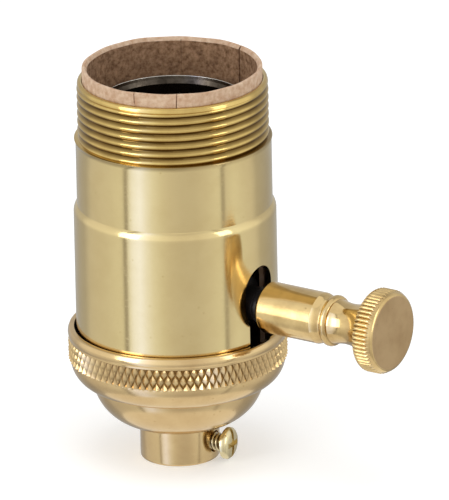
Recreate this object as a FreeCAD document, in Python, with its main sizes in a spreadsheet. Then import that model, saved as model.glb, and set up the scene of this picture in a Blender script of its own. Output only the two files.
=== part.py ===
import FreeCAD, Part

import math
import os

import Sketcher

# Turn knob lamp socket, an antique pattern turned from solid brass.
# The socket stands on its neck, whose pipe thread screws on a lamp. A cap carries a black
# switch block, and a screw shell for the bulb is riveted on top of the block. A fibre liner
# keeps the outer brass shell away from the live parts, and a slot in the side of both lets
# the switch shaft out to the turned brass knob. The knob turns the rotor of a rotary switch.
# Millimetres. The origin is the middle of the neck's lower end, +Z points up to the bulb and
# +X points out along the knob.

DOC = FreeCAD.newDocument("turn_knob_lamp_socket")

SIZES = {
    # Neck, with the bore of a 1/8 inch pipe thread
    "neck_radius": 7.45,
    "neck_height": 7.0,
    "neck_edge": 0.5,
    "pipe_bore_radius": 4.95,
    # Cap: bowl, step, convex band, knurled band and plain rolled lip
    "bowl_radius": 16.1,
    "bowl_height": 8.0,
    "bowl_curve": 9.5,
    "step_out": 0.8,
    "step_rise": 0.2,
    "band_below_knurl": 0.45,
    "band_height": 4.65,
    "band_curve": 4.8,
    "knurl_wall": 1.35,
    "knurl_height": 4.2,
    "lip_wall": 1.5,
    "lip_height": 2.1,
    "lip_groove": 0.35,
    "lip_curve": 1.4,
    "lip_edge_curve": 0.42,
    "cap_wall": 1.2,
    "shelf_thickness": 1.9,
    "neck_floor": 1.3,
    # Outer shell
    "shell_radius": 18.95,
    "shell_wall": 0.8,
    "shell_fit": 0.3,
    "shell_depth_in_cap": 5.55,
    "shoulder_step": 0.65,
    "lower_shell_height": 28.6,
    "shoulder_height": 1.5,
    "upper_shell_height": 12.6,
    "thread_zone": 11.4,
    "thread_ledge": 0.95,
    "thread_depth": 0.55,
    "thread_pitch": 1.5875,
    "thread_ridge": 1.36,
    "thread_wall": 0.4,
    "top_lip_height": 1.2,
    "top_lip_out": 0.44,
    # Keyhole in the shell
    "keyhole_radius": 4.25,
    "keyhole_straight": 3.2,
    "keyhole_above_shaft": 0.2,
    "keyhole_slot": 6.7,
    # Fibre liners
    "liner_play": 0.1,
    "liner_wall": 0.95,
    "liner_room_in_cap": 0.27,
    "liner_above_shell": 2.55,
    "liner_slot": 11.2,
    "liner_slot_above": 8.8,
    "cup_wall": 0.6,
    "cup_floor_radius": 9.5,
    "cup_drop": 6.0,
    "wire_hole_radius": 5.2,
    # Switch block
    "block_radius": 14.6,
    "base_height": 5.4,
    "base_plate": 3.0,
    "skirt_wall": 1.7,
    "flat_distance": 11.6,
    "chamber_half_length": 7.0,
    "chamber_half_width": 8.3,
    "chamber_roof": 4.5,
    "boss_ring_radius": 4.9,
    "boss_ring_reach": 15.4,
    "boss_radius": 3.3,
    "boss_reach": 19.0,
    "boss_tip_radius": 3.0,
    "boss_tip_reach": 19.6,
    "wire_notch_half": 5.0,
    "wire_notch_distance": 12.6,
    # Knob and shaft
    "shaft_height": 33.2,
    "shaft_radius": 1.8,
    "shaft_play": 0.06,
    "shaft_back": 10.2,
    "shaft_back_play": 0.3,
    "shaft_in_knob": 10.0,
    "square_side": 2.5,
    "square_end": 4.4,
    "knob_start": 20.9,
    "sleeve_radius": 4.85,
    "sleeve_length": 11.9,
    "sleeve_taper": 1.5,
    "taper_curve": 3.0,
    "groove_radius": 4.05,
    "bead_width": 1.7,
    "bead_curve": 0.935,
    "waist_radius": 4.2,
    "waist_length": 8.1,
    "flare_radius": 5.9,
    "head_radius": 7.95,
    "head_width": 3.3,
    "head_edge": 0.25,
    "face_rim": 1.05,
    "face_bulge": 0.75,
    "face_curve": 0.99,
    "ridge_count": 56,
    "ridge_depth": 0.3,
    "ridge_gap": 0.36,
    # Rotary switch
    "cam_half_flat": 4.5,
    "cam_corner": 5.1,
    "cam_front": 3.2,
    "cam_back": 5.0,
    "hub_radius": 3.0,
    "end_play": 0.1,
    "rotor_strip_half": 1.8,
    "rotor_strip_radius": 6.3,
    "strip_thickness": 0.8,
    "blade_thickness": 0.5,
    "blade_gap": 0.1,
    "blade_width": 2.4,
    "blade_overlap": 3.0,
    "clip_width": 0.7,
    "clip_groove_radius": 1.45,
    "clip_radius": 3.2,
    "clip_opening": 1.6,
    "leaf_thickness": 0.35,
    "leaf_gap": 0.15,
    "leaf_rise": 1.8,
    "leaf_half_flat": 3.5,
    "leaf_half_span": 7.9,
    "leaf_start": -4.8,
    "leaf_width": 2.6,
    # Screw shell for the bulb, medium base
    "disc_thickness": 1.4,
    "bulb_shell_radius": 12.85,
    "bulb_shell_wall": 0.4,
    "bulb_thread_pitch": 3.629,
    "bulb_thread_wave": 0.45,
    "bulb_thread_turns": 4,
    "bulb_thread_steps": 8,
    "bulb_thread_start": 4.6,
    "bulb_shell_height": 24.0,
    "bulb_rim_out": 0.6,
    "bulb_rim_height": 1.4,
    "contact_hole_radius": 6.4,
    "contact_width": 4.6,
    "contact_thickness": 0.5,
    "contact_rise": 4.6,
    "contact_reach": 5.0,
    # Terminals
    "terminal_thickness": 0.8,
    "terminal_half_width": 4.8,
    "terminal_above_screw": 5.1,
    "strap_half_width": 3.0,
    "strap_inner_end": 5.6,
    "strap_foot": 3.0,
    # Fasteners
    "terminal_screw_radius": 1.7,
    "terminal_screw_length": 2.6,
    "terminal_head_radius": 3.0,
    "terminal_head_height": 1.5,
    "terminal_screw_below_shaft": 0.2,
    "body_rivet_radius": 1.1,
    "body_rivet_head": 1.9,
    "body_rivet_head_height": 0.8,
    "body_rivet_x": 9.6,
    "body_rivet_y": 5.0,
    "shell_rivet_radius": 1.0,
    "shell_rivet_head": 1.9,
    "shell_rivet_head_height": 0.55,
    "shell_rivet_depth": 3.4,
    "shell_rivet_y": 8.6,
    "centre_rivet_radius": 0.9,
    "centre_rivet_head": 1.6,
    "centre_rivet_head_height": 0.5,
    "rivet_room": 0.2,
    # Set screw in the neck, backed out by hand
    "set_screw_height": 3.6,
    "set_screw_azimuth": 7.0,
    "set_screw_radius": 1.74,
    "set_screw_play": 0.06,
    "set_screw_tip": 5.05,
    "set_screw_underside": 9.6,
    "set_screw_head_radius": 3.05,
    "set_screw_head_height": 1.6,
    "set_screw_dome": 0.4,
    "slot_width": 0.8,
    "slot_depth": 0.7,
    "cross_width": 1.0,
    "cross_length": 3.6,
}


class Size:
    """A length with the spreadsheet expression that gives it."""

    def __init__(self, value, text):
        self.value = value
        self.text = text

    def join(self, other, sign, result):
        return Size(result, "({} {} {})".format(self.text, sign, size(other).text))

    def __add__(self, other):
        return self.join(other, "+", self.value + size(other).value)

    def __radd__(self, other):
        return size(other) + self

    def __sub__(self, other):
        return self.join(other, "-", self.value - size(other).value)

    def __rsub__(self, other):
        return size(other) - self

    def __mul__(self, other):
        return self.join(other, "*", self.value * size(other).value)

    def __rmul__(self, other):
        return size(other) * self

    def __truediv__(self, other):
        return self.join(other, "/", self.value / size(other).value)

    def __neg__(self):
        return Size(-self.value, "(-{})".format(self.text))


def size(number):
    """The number as a Size."""
    if isinstance(number, Size):
        return number
    return Size(float(number), repr(float(number)))


def leg(long_side, short_side):
    """The other short side of a right triangle, from its longest side and one short side."""
    value = math.sqrt(long_side.value ** 2 - short_side.value ** 2)
    return Size(value, "sqrt({0} * {0} - {1} * {1})".format(long_side.text, short_side.text))


def fill_sheet():
    """Write the driving dimensions in the spreadsheet and return them as named Sizes."""
    sheet = DOC.addObject("Spreadsheet::Sheet", "Sizes")
    for row, (alias, number) in enumerate(SIZES.items(), start=1):
        sheet.set("A{}".format(row), alias)
        sheet.set("B{}".format(row), str(number))
        sheet.setAlias("B{}".format(row), alias)
    DOC.recompute()
    return {alias: Size(float(sheet.get(alias)), "Sizes." + alias) for alias in SIZES}


S = fill_sheet()


def tie(owner, path, number):
    """Bind one property of an object to the spreadsheet."""
    owner.setExpression(path, size(number).text)


def new_body(label, at=(0, 0, 0), turn=0):
    """A body with its label, placed at a point and turned about +Z, in degrees."""
    body = DOC.addObject("PartDesign::Body", label)
    body.Label = label
    body.Placement = FreeCAD.Placement(
        FreeCAD.Vector(*[size(c).value for c in at]),
        FreeCAD.Rotation(FreeCAD.Vector(0, 0, 1), size(turn).value),
    )
    for axis, coordinate in zip("xyz", at):
        tie(body, "Placement.Base." + axis, coordinate)
    if isinstance(turn, Size):
        tie(body, "Placement.Rotation.Angle", turn)
    return body


def new_sketch(body, plane, lift=0, turn=0):
    """A sketch on one origin plane of the body, lifted along and turned about that plane's own axes."""
    sketch = body.newObject("Sketcher::SketchObject", body.Label + "_sketch")
    origin_plane = [f for f in body.Origin.OriginFeatures if f.Role == plane][0]
    sketch.AttachmentSupport = [(origin_plane, "")]
    sketch.MapMode = "FlatFace"
    sketch.AttachmentOffset = FreeCAD.Placement(
        FreeCAD.Vector(0, 0, size(lift).value),
        FreeCAD.Rotation(FreeCAD.Vector(0, 1, 0), size(turn).value),
    )
    tie(sketch, "AttachmentOffset.Base.z", lift)
    if isinstance(turn, Size):
        tie(sketch, "AttachmentOffset.Rotation.Angle", turn)
    return sketch


def pin_point(sketch, edge, end, x, y):
    """Fix one end of an edge at (x, y) by dimensions bound to the spreadsheet."""
    for kind, number, axis in (("DistanceX", x, -2), ("DistanceY", y, -1)):
        if size(number).value == 0:
            sketch.addConstraint(Sketcher.Constraint("PointOnObject", edge, end, axis))
        else:
            index = sketch.addConstraint(Sketcher.Constraint(kind, edge, end, size(number).value))
            tie(sketch, "Constraints[{}]".format(index), number)


def bulge(start, end, radius, side):
    """The middle point of an arc; side is 1 where it bows to the left of the way, or -1."""
    run = end - start
    left = FreeCAD.Vector(-run.y, run.x, 0).normalize()
    half = run.Length / 2
    centre = (start + end) / 2 - left * side * math.sqrt(max(radius ** 2 - half ** 2, 0))
    return centre + left * side * radius


def draw(sketch, path):
    """Close an outline through the points of path.

    A point is (x, y), or (x, y, radius, side) where an arc leads to it: side is 1 for an arc
    that bows to the left of the way and -1 to the right, and a radius of None is half a circle.
    """
    spots = [FreeCAD.Vector(size(p[0]).value, size(p[1]).value, 0) for p in path]
    ends = []
    for number, point in enumerate(path):
        start = spots[number - 1]
        stop = spots[number]
        if len(point) == 2:
            edge = sketch.addGeometry(Part.LineSegment(start, stop), False)
            ends.append((edge, 1, 2))
            continue
        radius, side = point[2:]
        reach = (stop - start).Length / 2 if radius is None else size(radius).value
        middle = bulge(start, stop, reach, side)
        edge = sketch.addGeometry(Part.Arc(start, middle, stop), False)
        ends.append((edge, 2, 1) if side == 1 else (edge, 1, 2))
    for number, (edge, first, last) in enumerate(ends):
        before, _, before_last = ends[number - 1]
        sketch.addConstraint(Sketcher.Constraint("Coincident", before, before_last, edge, first))
        pin_point(sketch, edge, last, path[number][0], path[number][1])
        if len(path[number]) == 4 and path[number][2] is None:
            sketch.addConstraint(Sketcher.Constraint("Symmetric", edge, 1, edge, 2, edge, 3))
        elif len(path[number]) == 4:
            radius = size(path[number][2])
            index = sketch.addConstraint(Sketcher.Constraint("Radius", edge, radius.value))
            tie(sketch, "Constraints[{}]".format(index), radius)


def draw_circle(sketch, radius, x=0, y=0):
    """A circle with its centre and radius bound to the spreadsheet."""
    centre = FreeCAD.Vector(size(x).value, size(y).value, 0)
    up = FreeCAD.Vector(0, 0, 1)
    edge = sketch.addGeometry(Part.Circle(centre, up, size(radius).value), False)
    pin_point(sketch, edge, 3, x, y)
    index = sketch.addConstraint(Sketcher.Constraint("Radius", edge, size(radius).value))
    tie(sketch, "Constraints[{}]".format(index), radius)


def rectangle(x0, x1, y0, y1):
    """The corners of an upright rectangle."""
    return [(x0, y0), (x1, y0), (x1, y1), (x0, y1)]


def turned(body, path, axis="V_Axis"):
    """Turn an outline on the XZ plane about the body's Z axis, or about its X axis (H_Axis)."""
    sketch = new_sketch(body, "XZ_Plane")
    draw(sketch, path)
    feature = body.newObject("PartDesign::Revolution", body.Label + "_turned")
    feature.Profile = sketch
    feature.ReferenceAxis = (sketch, [axis])
    feature.Angle = 360
    return feature


def pad(body, sketch, length):
    """Raise a sketch along its normal."""
    feature = body.newObject("PartDesign::Pad", body.Label + "_pad")
    feature.Profile = sketch
    feature.Length = size(length).value
    tie(feature, "Length", length)
    return feature


def cut(body, sketch, length):
    """Cut a sketch along its normal, and make sure that it removed something."""
    DOC.recompute()
    before = body.Shape.Volume
    feature = body.newObject("PartDesign::Pocket", body.Label + "_cut")
    feature.Profile = sketch
    feature.Reversed = True
    feature.Length = size(length).value
    tie(feature, "Length", length)
    DOC.recompute()
    if body.Shape.Volume > before - 1e-3:
        raise ValueError("a cut in {} removes nothing".format(body.Label))
    return feature


def pattern_round(body, feature, sketch, axis, count):
    """Repeat a feature around an axis of its sketch."""
    pattern = body.newObject("PartDesign::PolarPattern", body.Label + "_pattern")
    pattern.Originals = [feature]
    pattern.Axis = (sketch, [axis])
    pattern.Angle = 360
    pattern.Occurrences = int(size(count).value)
    tie(pattern, "Occurrences", count)
    body.Tip = pattern
    return pattern


# Radii and levels that several pieces share, and how far a cut runs past what it cuts
past = 1.0
seat_radius = S["shell_radius"] + S["shell_fit"]
knurl_radius = seat_radius + S["knurl_wall"]
upper_shell_radius = S["shell_radius"] - S["shoulder_step"]
thread_root_radius = upper_shell_radius - S["thread_ledge"]
thread_bore_radius = thread_root_radius - S["thread_wall"]
liner_radius = thread_bore_radius - S["liner_play"]
bowl_top = S["neck_height"] + S["bowl_height"]
knurl_bottom = bowl_top + S["step_rise"] + S["band_height"]
knurl_top = knurl_bottom + S["knurl_height"]
cap_top = knurl_top + S["lip_height"]
shell_bottom = cap_top - S["shell_depth_in_cap"]
shelf_radius = S["bowl_radius"] - S["cap_wall"]
shelf_top = bowl_top + S["step_rise"] + S["shelf_thickness"]
base_bottom = shelf_top + S["cup_wall"]
block_bottom = base_bottom + S["base_height"]
shaft = S["shaft_height"]
leaf_bottom = shaft + S["cam_corner"] + S["leaf_gap"]
chamber_top = leaf_bottom + S["leaf_thickness"] + S["leaf_rise"]
block_top = chamber_top + S["chamber_roof"]
disc_top = block_top + S["disc_thickness"]
bulb_floor_top = disc_top + S["bulb_shell_wall"]
bulb_shell_top = disc_top + S["bulb_shell_height"]
shoulder_bottom = shell_bottom + S["lower_shell_height"]
shoulder_top = shoulder_bottom + S["shoulder_height"]
ledge = shoulder_top + S["upper_shell_height"]
shell_top = ledge + S["thread_zone"]
liner_top = shell_top + S["liner_above_shell"]
liner_bore_radius = liner_radius - S["liner_wall"]
terminal_outside = S["flat_distance"] + S["terminal_thickness"]
terminal_screw_height = shaft - S["terminal_screw_below_shaft"]
blade_inside = S["rotor_strip_radius"] + S["blade_gap"]
blade_outside = blade_inside + S["blade_thickness"]
blade_start = S["cam_front"] + S["strip_thickness"] / 2 - S["blade_width"] / 2
blade_end = blade_start + S["blade_width"]
square_back = S["chamber_half_length"] - S["end_play"]


def make_cap():
    """Turned brass cap: neck, bowl, step, convex band, knurled band and plain lip."""
    body = new_body("cap")
    top = S["neck_height"]
    bore = S["pipe_bore_radius"]
    wall_radius = liner_radius + S["liner_room_in_cap"]
    edge = S["neck_edge"]
    groove = seat_radius + S["lip_wall"] - S["lip_groove"]
    lip_bottom = knurl_top + S["lip_groove"]
    turned(body, [
        (bore, 0),
        (S["neck_radius"] - edge, 0),
        (S["neck_radius"], edge, edge, -1),
        (S["neck_radius"], top),
        (S["neck_radius"] + edge, top),
        (S["bowl_radius"], bowl_top, S["bowl_curve"], -1),
        (S["bowl_radius"] + S["step_out"], bowl_top + S["step_rise"]),
        (knurl_radius - S["band_below_knurl"], knurl_bottom, S["band_curve"], -1),
        (knurl_radius, knurl_bottom + S["step_rise"]),
        (knurl_radius, knurl_top - S["step_rise"]),
        (groove, knurl_top),
        (groove, lip_bottom),
        (groove, cap_top - S["lip_groove"], S["lip_curve"], -1),
        (groove - S["lip_groove"], cap_top, S["lip_edge_curve"], -1),
        (seat_radius, cap_top - S["lip_groove"]),
        (seat_radius, shell_bottom),
        (wall_radius, shell_bottom),
        (wall_radius, shelf_top),
        (shelf_radius, shelf_top),
        (shelf_radius, bowl_top),
        (S["neck_radius"] + edge, top + S["neck_floor"], S["bowl_curve"], 1),
        (bore, top + S["neck_floor"]),
    ])
    sketch = new_sketch(body, "YZ_Plane", turn=S["set_screw_azimuth"])
    draw_circle(sketch, S["set_screw_radius"] + S["set_screw_play"], 0, S["set_screw_height"])
    cut(body, sketch, S["neck_radius"] + past)
    return body


def make_screw(label, at, turn, radius, tip, underside, head_radius, head_height, dome):
    """A pan-head screw along the body's own X axis, from its tip to its domed head."""
    body = new_body(label, at, turn)
    face = underside + head_height
    point = radius / 3
    turned(body, [
        (tip, 0),
        (tip, radius - point),
        (tip + point, radius),
        (underside, radius),
        (underside, head_radius - dome / 2),
        (underside + dome / 2, head_radius, dome / 2, 1),
        (face - dome, head_radius),
        (face, head_radius - dome, dome, 1),
        (face, 0),
    ], axis="H_Axis")
    slot = new_sketch(body, "YZ_Plane", lift=face - S["slot_depth"])
    half = S["slot_width"] / 2
    reach = head_radius + past
    draw(slot, rectangle(-half, half, -reach, reach))
    cut(body, slot, head_height)
    return body


def make_set_screw():
    """The screw that locks the neck on its pipe, with a slot crossed by a short recess."""
    body = make_screw(
        "set_screw", (0, 0, S["set_screw_height"]), S["set_screw_azimuth"],
        S["set_screw_radius"], S["set_screw_tip"], S["set_screw_underside"],
        S["set_screw_head_radius"], S["set_screw_head_height"], S["set_screw_dome"],
    )
    face = S["set_screw_underside"] + S["set_screw_head_height"]
    cross = new_sketch(body, "YZ_Plane", lift=face - S["slot_depth"])
    half = S["cross_length"] / 2
    draw(cross, rectangle(-half, half, -S["cross_width"] / 2, S["cross_width"] / 2))
    cut(body, cross, S["slot_depth"] * 2)
    return body


def make_cap_liner():
    """A dished fibre cup on the cap's shelf, with the hole for the wires in its floor."""
    body = new_body("cap_liner")
    rim = liner_radius
    neck = shelf_radius - S["cup_wall"] / 2
    wall = S["cup_wall"]
    floor = shelf_top - S["cup_drop"]
    turned(body, [
        (S["wire_hole_radius"], floor),
        (S["cup_floor_radius"], floor),
        (neck, shelf_top),
        (rim, shelf_top),
        (rim, base_bottom),
        (neck - wall / 2, base_bottom),
        (S["cup_floor_radius"] - wall / 2, floor + wall),
        (S["wire_hole_radius"], floor + wall),
    ])
    return body


def make_shell():
    """Turned brass shell with its shade-ring thread above and its keyhole below."""
    body = new_body("shell")
    lower = S["shell_radius"]
    upper = upper_shell_radius
    root = thread_root_radius
    lower_bore = lower - S["shell_wall"]
    upper_bore = upper - S["shell_wall"]
    bore = thread_bore_radius
    lip = S["top_lip_height"]
    lip_radius = root + S["top_lip_out"]
    soft = S["shoulder_height"] / 2
    wall = S["shell_wall"]
    turned(body, [
        (lower_bore, shell_bottom),
        (lower, shell_bottom),
        (lower, shoulder_bottom - soft / 2),
        (lower - soft / 2, shoulder_bottom + soft / 2, soft, -1),
        (upper, shoulder_top),
        (upper, ledge - wall / 4),
        (upper - wall / 4, ledge),
        (root, ledge + wall / 4),
        (root, shell_top - lip),
        (lip_radius, shell_top - lip + wall / 4),
        (lip_radius, shell_top - lip / 2),
        (lip_radius - lip / 2, shell_top, lip / 2, -1),
        (bore, shell_top),
        (bore, ledge),
        (upper_bore, ledge - wall),
        (upper_bore, shoulder_top),
        (lower_bore, shoulder_bottom - soft),
    ])
    ridge = new_sketch(body, "XZ_Plane")
    first = ledge + wall / 4
    foot = root - S["thread_depth"] / 3
    crest = root + S["thread_depth"]
    width = S["thread_ridge"]
    draw(ridge, [
        (foot, first),
        (crest, first + width / 3),
        (crest, first + width * 2 / 3),
        (foot, first + width),
    ])
    DOC.recompute()
    helix = body.newObject("PartDesign::AdditiveHelix", "shade_ring_thread")
    helix.Profile = ridge
    helix.ReferenceAxis = (ridge, ["V_Axis"])
    helix.Mode = 0
    helix.Pitch = S["thread_pitch"].value
    rise = S["thread_zone"] - lip - wall / 4 - width
    helix.Height = rise.value
    tie(helix, "Pitch", S["thread_pitch"])
    tie(helix, "Height", rise)
    keyhole = new_sketch(body, "YZ_Plane")
    wide = S["keyhole_radius"]
    slot = S["keyhole_slot"] / 2
    low = shaft + S["keyhole_above_shaft"]
    high = low + S["keyhole_straight"]
    join = low - leg(wide, slot)
    draw(keyhole, [
        (-slot, shell_bottom - past),
        (slot, shell_bottom - past),
        (slot, join),
        (wide, low, wide, -1),
        (wide, high),
        (-wide, high, None, -1),
        (-wide, low),
        (-slot, join, wide, -1),
    ])
    cut(body, keyhole, lower + past)
    return body


def make_shell_liner():
    """Fibre tube inside the shell, cut out around the switch boss."""
    body = new_body("shell_liner")
    bevel = S["liner_wall"] / 3
    turned(body, [
        (liner_bore_radius, base_bottom),
        (liner_radius, base_bottom),
        (liner_radius, liner_top - bevel / 2),
        (liner_radius - bevel / 2, liner_top),
        (liner_bore_radius + bevel, liner_top),
        (liner_bore_radius, liner_top - bevel),
    ])
    slot = new_sketch(body, "YZ_Plane")
    half = S["liner_slot"] / 2
    high = shaft + S["liner_slot_above"] - half
    draw(slot, [
        (-half, base_bottom - past),
        (half, base_bottom - past),
        (half, high),
        (-half, high, None, -1),
    ])
    cut(body, slot, liner_radius + past)
    return body


def cut_holes(body, plane, lift, radius, spots, length):
    """Cut round holes of one size at several spots of a plane."""
    sketch = new_sketch(body, plane, lift)
    for x, y in spots:
        draw_circle(sketch, radius, x, y)
    return cut(body, sketch, length)


def body_rivet_spots():
    """Where the two rivets of the switch block stand, one on each side of the chamber."""
    return [
        (S["body_rivet_x"], S["body_rivet_y"]),
        (-S["body_rivet_x"], -S["body_rivet_y"]),
    ]


def make_switch_base():
    """Black moulded plate under the switch block, on a skirt that leaves room for the wires."""
    body = new_body("switch_base")
    plate_bottom = block_bottom - S["base_plate"]
    inside = S["block_radius"] - S["skirt_wall"]
    turned(body, [
        (0, plate_bottom),
        (inside, plate_bottom),
        (inside, base_bottom),
        (S["block_radius"], base_bottom),
        (S["block_radius"], block_bottom),
        (0, block_bottom),
    ])
    for side in (1, -1):
        notch = new_sketch(body, "XY_Plane", base_bottom - past)
        near = side * S["wire_notch_distance"]
        far = side * (S["block_radius"] + past)
        half = S["wire_notch_half"]
        draw(notch, rectangle(-half, half, near, far))
        cut(body, notch, S["base_height"] + 2 * past)
    cut_holes(body, "XY_Plane", base_bottom - past, S["body_rivet_radius"], body_rivet_spots(),
              S["base_height"] + 2 * past)
    return body


def make_switch_body():
    """Black moulded switch block: switch chamber, shaft boss and the holes for its fittings."""
    body = new_body("switch_body")
    radius = S["block_radius"]
    flat = S["flat_distance"]
    corner = leg(radius, flat)
    outline = new_sketch(body, "XY_Plane", block_bottom)
    draw(outline, [
        (corner, -flat),
        (corner, flat, radius, -1),
        (-corner, flat),
        (-corner, -flat, radius, -1),
    ])
    pad(body, outline, block_top - block_bottom)
    start = leg(radius, S["boss_ring_radius"]) - past
    for boss_radius, reach in (
        (S["boss_ring_radius"], S["boss_ring_reach"]),
        (S["boss_radius"], S["boss_reach"]),
        (S["boss_tip_radius"], S["boss_tip_reach"]),
    ):
        ring = new_sketch(body, "YZ_Plane", start)
        draw_circle(ring, boss_radius, 0, shaft)
        pad(body, ring, reach - start)
    chamber = new_sketch(body, "XY_Plane", block_bottom - past)
    half_length = S["chamber_half_length"]
    half_width = S["chamber_half_width"]
    draw(chamber, rectangle(-half_length, half_length, -half_width, half_width))
    cut(body, chamber, chamber_top - block_bottom + past)
    bearing = S["shaft_radius"] + S["shaft_play"]
    back = -(S["shaft_back"] + S["shaft_back_play"])
    cut_holes(body, "YZ_Plane", back, bearing, [(0, shaft)], S["boss_tip_reach"] - back + past)
    cut_holes(body, "XY_Plane", block_bottom - past, S["body_rivet_radius"], body_rivet_spots(),
              block_top - block_bottom + 2 * past)
    cut_holes(body, "XY_Plane", block_top - S["body_rivet_head_height"], S["body_rivet_head"],
              body_rivet_spots(), S["body_rivet_head_height"] + past)
    cut_holes(body, "XY_Plane", chamber_top - past, S["centre_rivet_radius"], [(0, 0)],
              S["chamber_roof"] + 2 * past)
    side = S["shell_rivet_y"]
    cut_holes(body, "XY_Plane", block_top - S["shell_rivet_depth"], S["shell_rivet_radius"],
              [(0, side), (0, -side)], S["shell_rivet_depth"] + past)
    depth = S["terminal_screw_length"]
    for place in (-flat, flat - depth):
        sketch = new_sketch(body, "XZ_Plane", -(place + depth))
        draw_circle(sketch, S["terminal_screw_radius"], 0, terminal_screw_height)
        cut(body, sketch, depth)
    foot = new_sketch(body, "XY_Plane", block_bottom - past)
    draw(foot, rectangle(blade_start, blade_end, -flat - past, -half_width + past))
    cut(body, foot, S["blade_thickness"] + past)
    return body


def make_rivet(label, at, levels, shank, heads):
    """A rivet on the body's own Z axis; heads are (bottom, top, radius) of its one or two heads."""
    body = new_body(label, at)
    bottom, top = levels
    path = [(0, bottom), (shank, bottom), (shank, top), (0, top)]
    turned(body, path)
    for low, high, radius in heads:
        sketch = new_sketch(body, "XY_Plane", low)
        draw_circle(sketch, radius)
        pad(body, sketch, high - low)
    return body


def make_body_rivets():
    """Two long rivets that hold the switch block on its base."""
    head = S["body_rivet_head_height"]
    under = block_bottom - S["base_plate"]
    return [
        make_rivet(
            "body_rivet_{}".format(number), (x, y, 0), (under - head, block_top),
            S["body_rivet_radius"],
            [(under - head, under, S["body_rivet_head"]),
             (block_top - head, block_top, S["body_rivet_head"])],
        )
        for number, (x, y) in enumerate(body_rivet_spots(), start=1)
    ]


def make_shell_rivets():
    """Two rivets that hold the bulb's screw shell on the block."""
    head = S["shell_rivet_head_height"]
    return [
        make_rivet(
            "screw_shell_rivet_{}".format(number), (0, side * S["shell_rivet_y"], 0),
            (block_top - S["shell_rivet_depth"], bulb_floor_top + head),
            S["shell_rivet_radius"],
            [(bulb_floor_top, bulb_floor_top + head, S["shell_rivet_head"])],
        )
        for number, side in enumerate((1, -1), start=1)
    ]


def make_centre_rivet():
    """The live rivet from the switched blade up to the centre contact."""
    head = S["centre_rivet_head_height"]
    low = chamber_top - S["blade_thickness"]
    high = disc_top + S["contact_thickness"]
    return make_rivet(
        "centre_rivet", (0, 0, 0), (low - head, high + head), S["centre_rivet_radius"],
        [(low - head, low, S["centre_rivet_head"]), (high, high + head, S["centre_rivet_head"])],
    )


def square_hole(sketch):
    """The shaft's square in a sketch on the YZ plane."""
    half = S["square_side"] / 2
    draw(sketch, rectangle(-half, half, -half, half))


def make_switch_shaft():
    """Steel shaft from the block's back wall to the knob, squared where the rotor sits."""
    body = new_body("switch_shaft", (0, 0, shaft))
    radius = S["shaft_radius"]
    back = -S["shaft_back"]
    front = S["knob_start"] + S["shaft_in_knob"]
    groove_front = S["chamber_half_length"] - S["end_play"]
    groove_back = groove_front - S["clip_width"]
    groove = S["clip_groove_radius"]
    bevel = radius / 6
    turned(body, [
        (back, 0),
        (back, radius - bevel),
        (back + bevel, radius),
        (groove_back, radius),
        (groove_back, groove),
        (groove_front, groove),
        (groove_front, radius),
        (front, radius),
        (front, 0),
    ], axis="H_Axis")
    sketch = new_sketch(body, "YZ_Plane", -square_back)
    draw_circle(sketch, radius + past)
    square_hole(sketch)
    cut(body, sketch, square_back + S["square_end"])
    return body


def make_rotor():
    """Moulded four-sided cam with rounded corners and a hub, on the shaft's square."""
    body = new_body("switch_rotor", (0, 0, shaft))
    half = S["cam_half_flat"]
    corner = S["cam_corner"]
    reach = leg(corner, half)
    cam = new_sketch(body, "YZ_Plane", -S["cam_back"])
    draw(cam, [
        (reach, -half),
        (half, -reach, corner, -1),
        (half, reach),
        (reach, half, corner, -1),
        (-reach, half),
        (-half, reach, corner, -1),
        (-half, -reach),
        (-reach, -half, corner, -1),
    ])
    square_hole(cam)
    pad(body, cam, S["cam_back"] + S["cam_front"])
    hub = new_sketch(body, "YZ_Plane", -square_back)
    draw_circle(hub, S["hub_radius"])
    square_hole(hub)
    pad(body, hub, square_back - S["cam_back"])
    return body


def make_rotor_contact():
    """Brass bridge on the front of the rotor, which joins the two blades each half turn."""
    body = new_body("rotor_contact", (0, 0, shaft))
    half = S["rotor_strip_half"]
    reach = S["rotor_strip_radius"]
    end = leg(reach, half)
    sketch = new_sketch(body, "YZ_Plane", S["cam_front"])
    draw(sketch, [
        (end, -half),
        (end, half, reach, -1),
        (-end, half),
        (-end, -half, reach, -1),
    ])
    square_hole(sketch)
    pad(body, sketch, S["strip_thickness"])
    return body


def make_shaft_clip():
    """Open spring clip in the shaft's groove, which keeps the shaft from pulling out."""
    body = new_body("shaft_clip", (0, 0, shaft))
    half = S["clip_opening"] / 2
    outer = S["clip_radius"]
    inner = S["clip_groove_radius"]
    width = S["clip_width"]
    sketch = new_sketch(body, "YZ_Plane", S["chamber_half_length"] - S["end_play"] - width)
    draw_circle(sketch, outer)
    draw_circle(sketch, inner)
    pad(body, sketch, width)
    opening = new_sketch(body, "YZ_Plane", S["chamber_half_length"] - S["end_play"] - width * 2)
    draw(opening, rectangle(-half, half, -outer - past, 0))
    cut(body, opening, width * 3)
    return body


def make_line_contact():
    """Blade from the hot terminal, under the chamber wall and up beside the rotor bridge."""
    body = new_body("line_contact")
    thick = S["blade_thickness"]
    sketch = new_sketch(body, "YZ_Plane", blade_start)
    draw(sketch, [
        (-terminal_outside, block_bottom),
        (-blade_inside, block_bottom),
        (-blade_inside, shaft + S["blade_overlap"]),
        (-blade_outside, shaft + S["blade_overlap"]),
        (-blade_outside, block_bottom + thick),
        (-terminal_outside, block_bottom + thick),
    ])
    pad(body, sketch, S["blade_width"])
    return body


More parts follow.
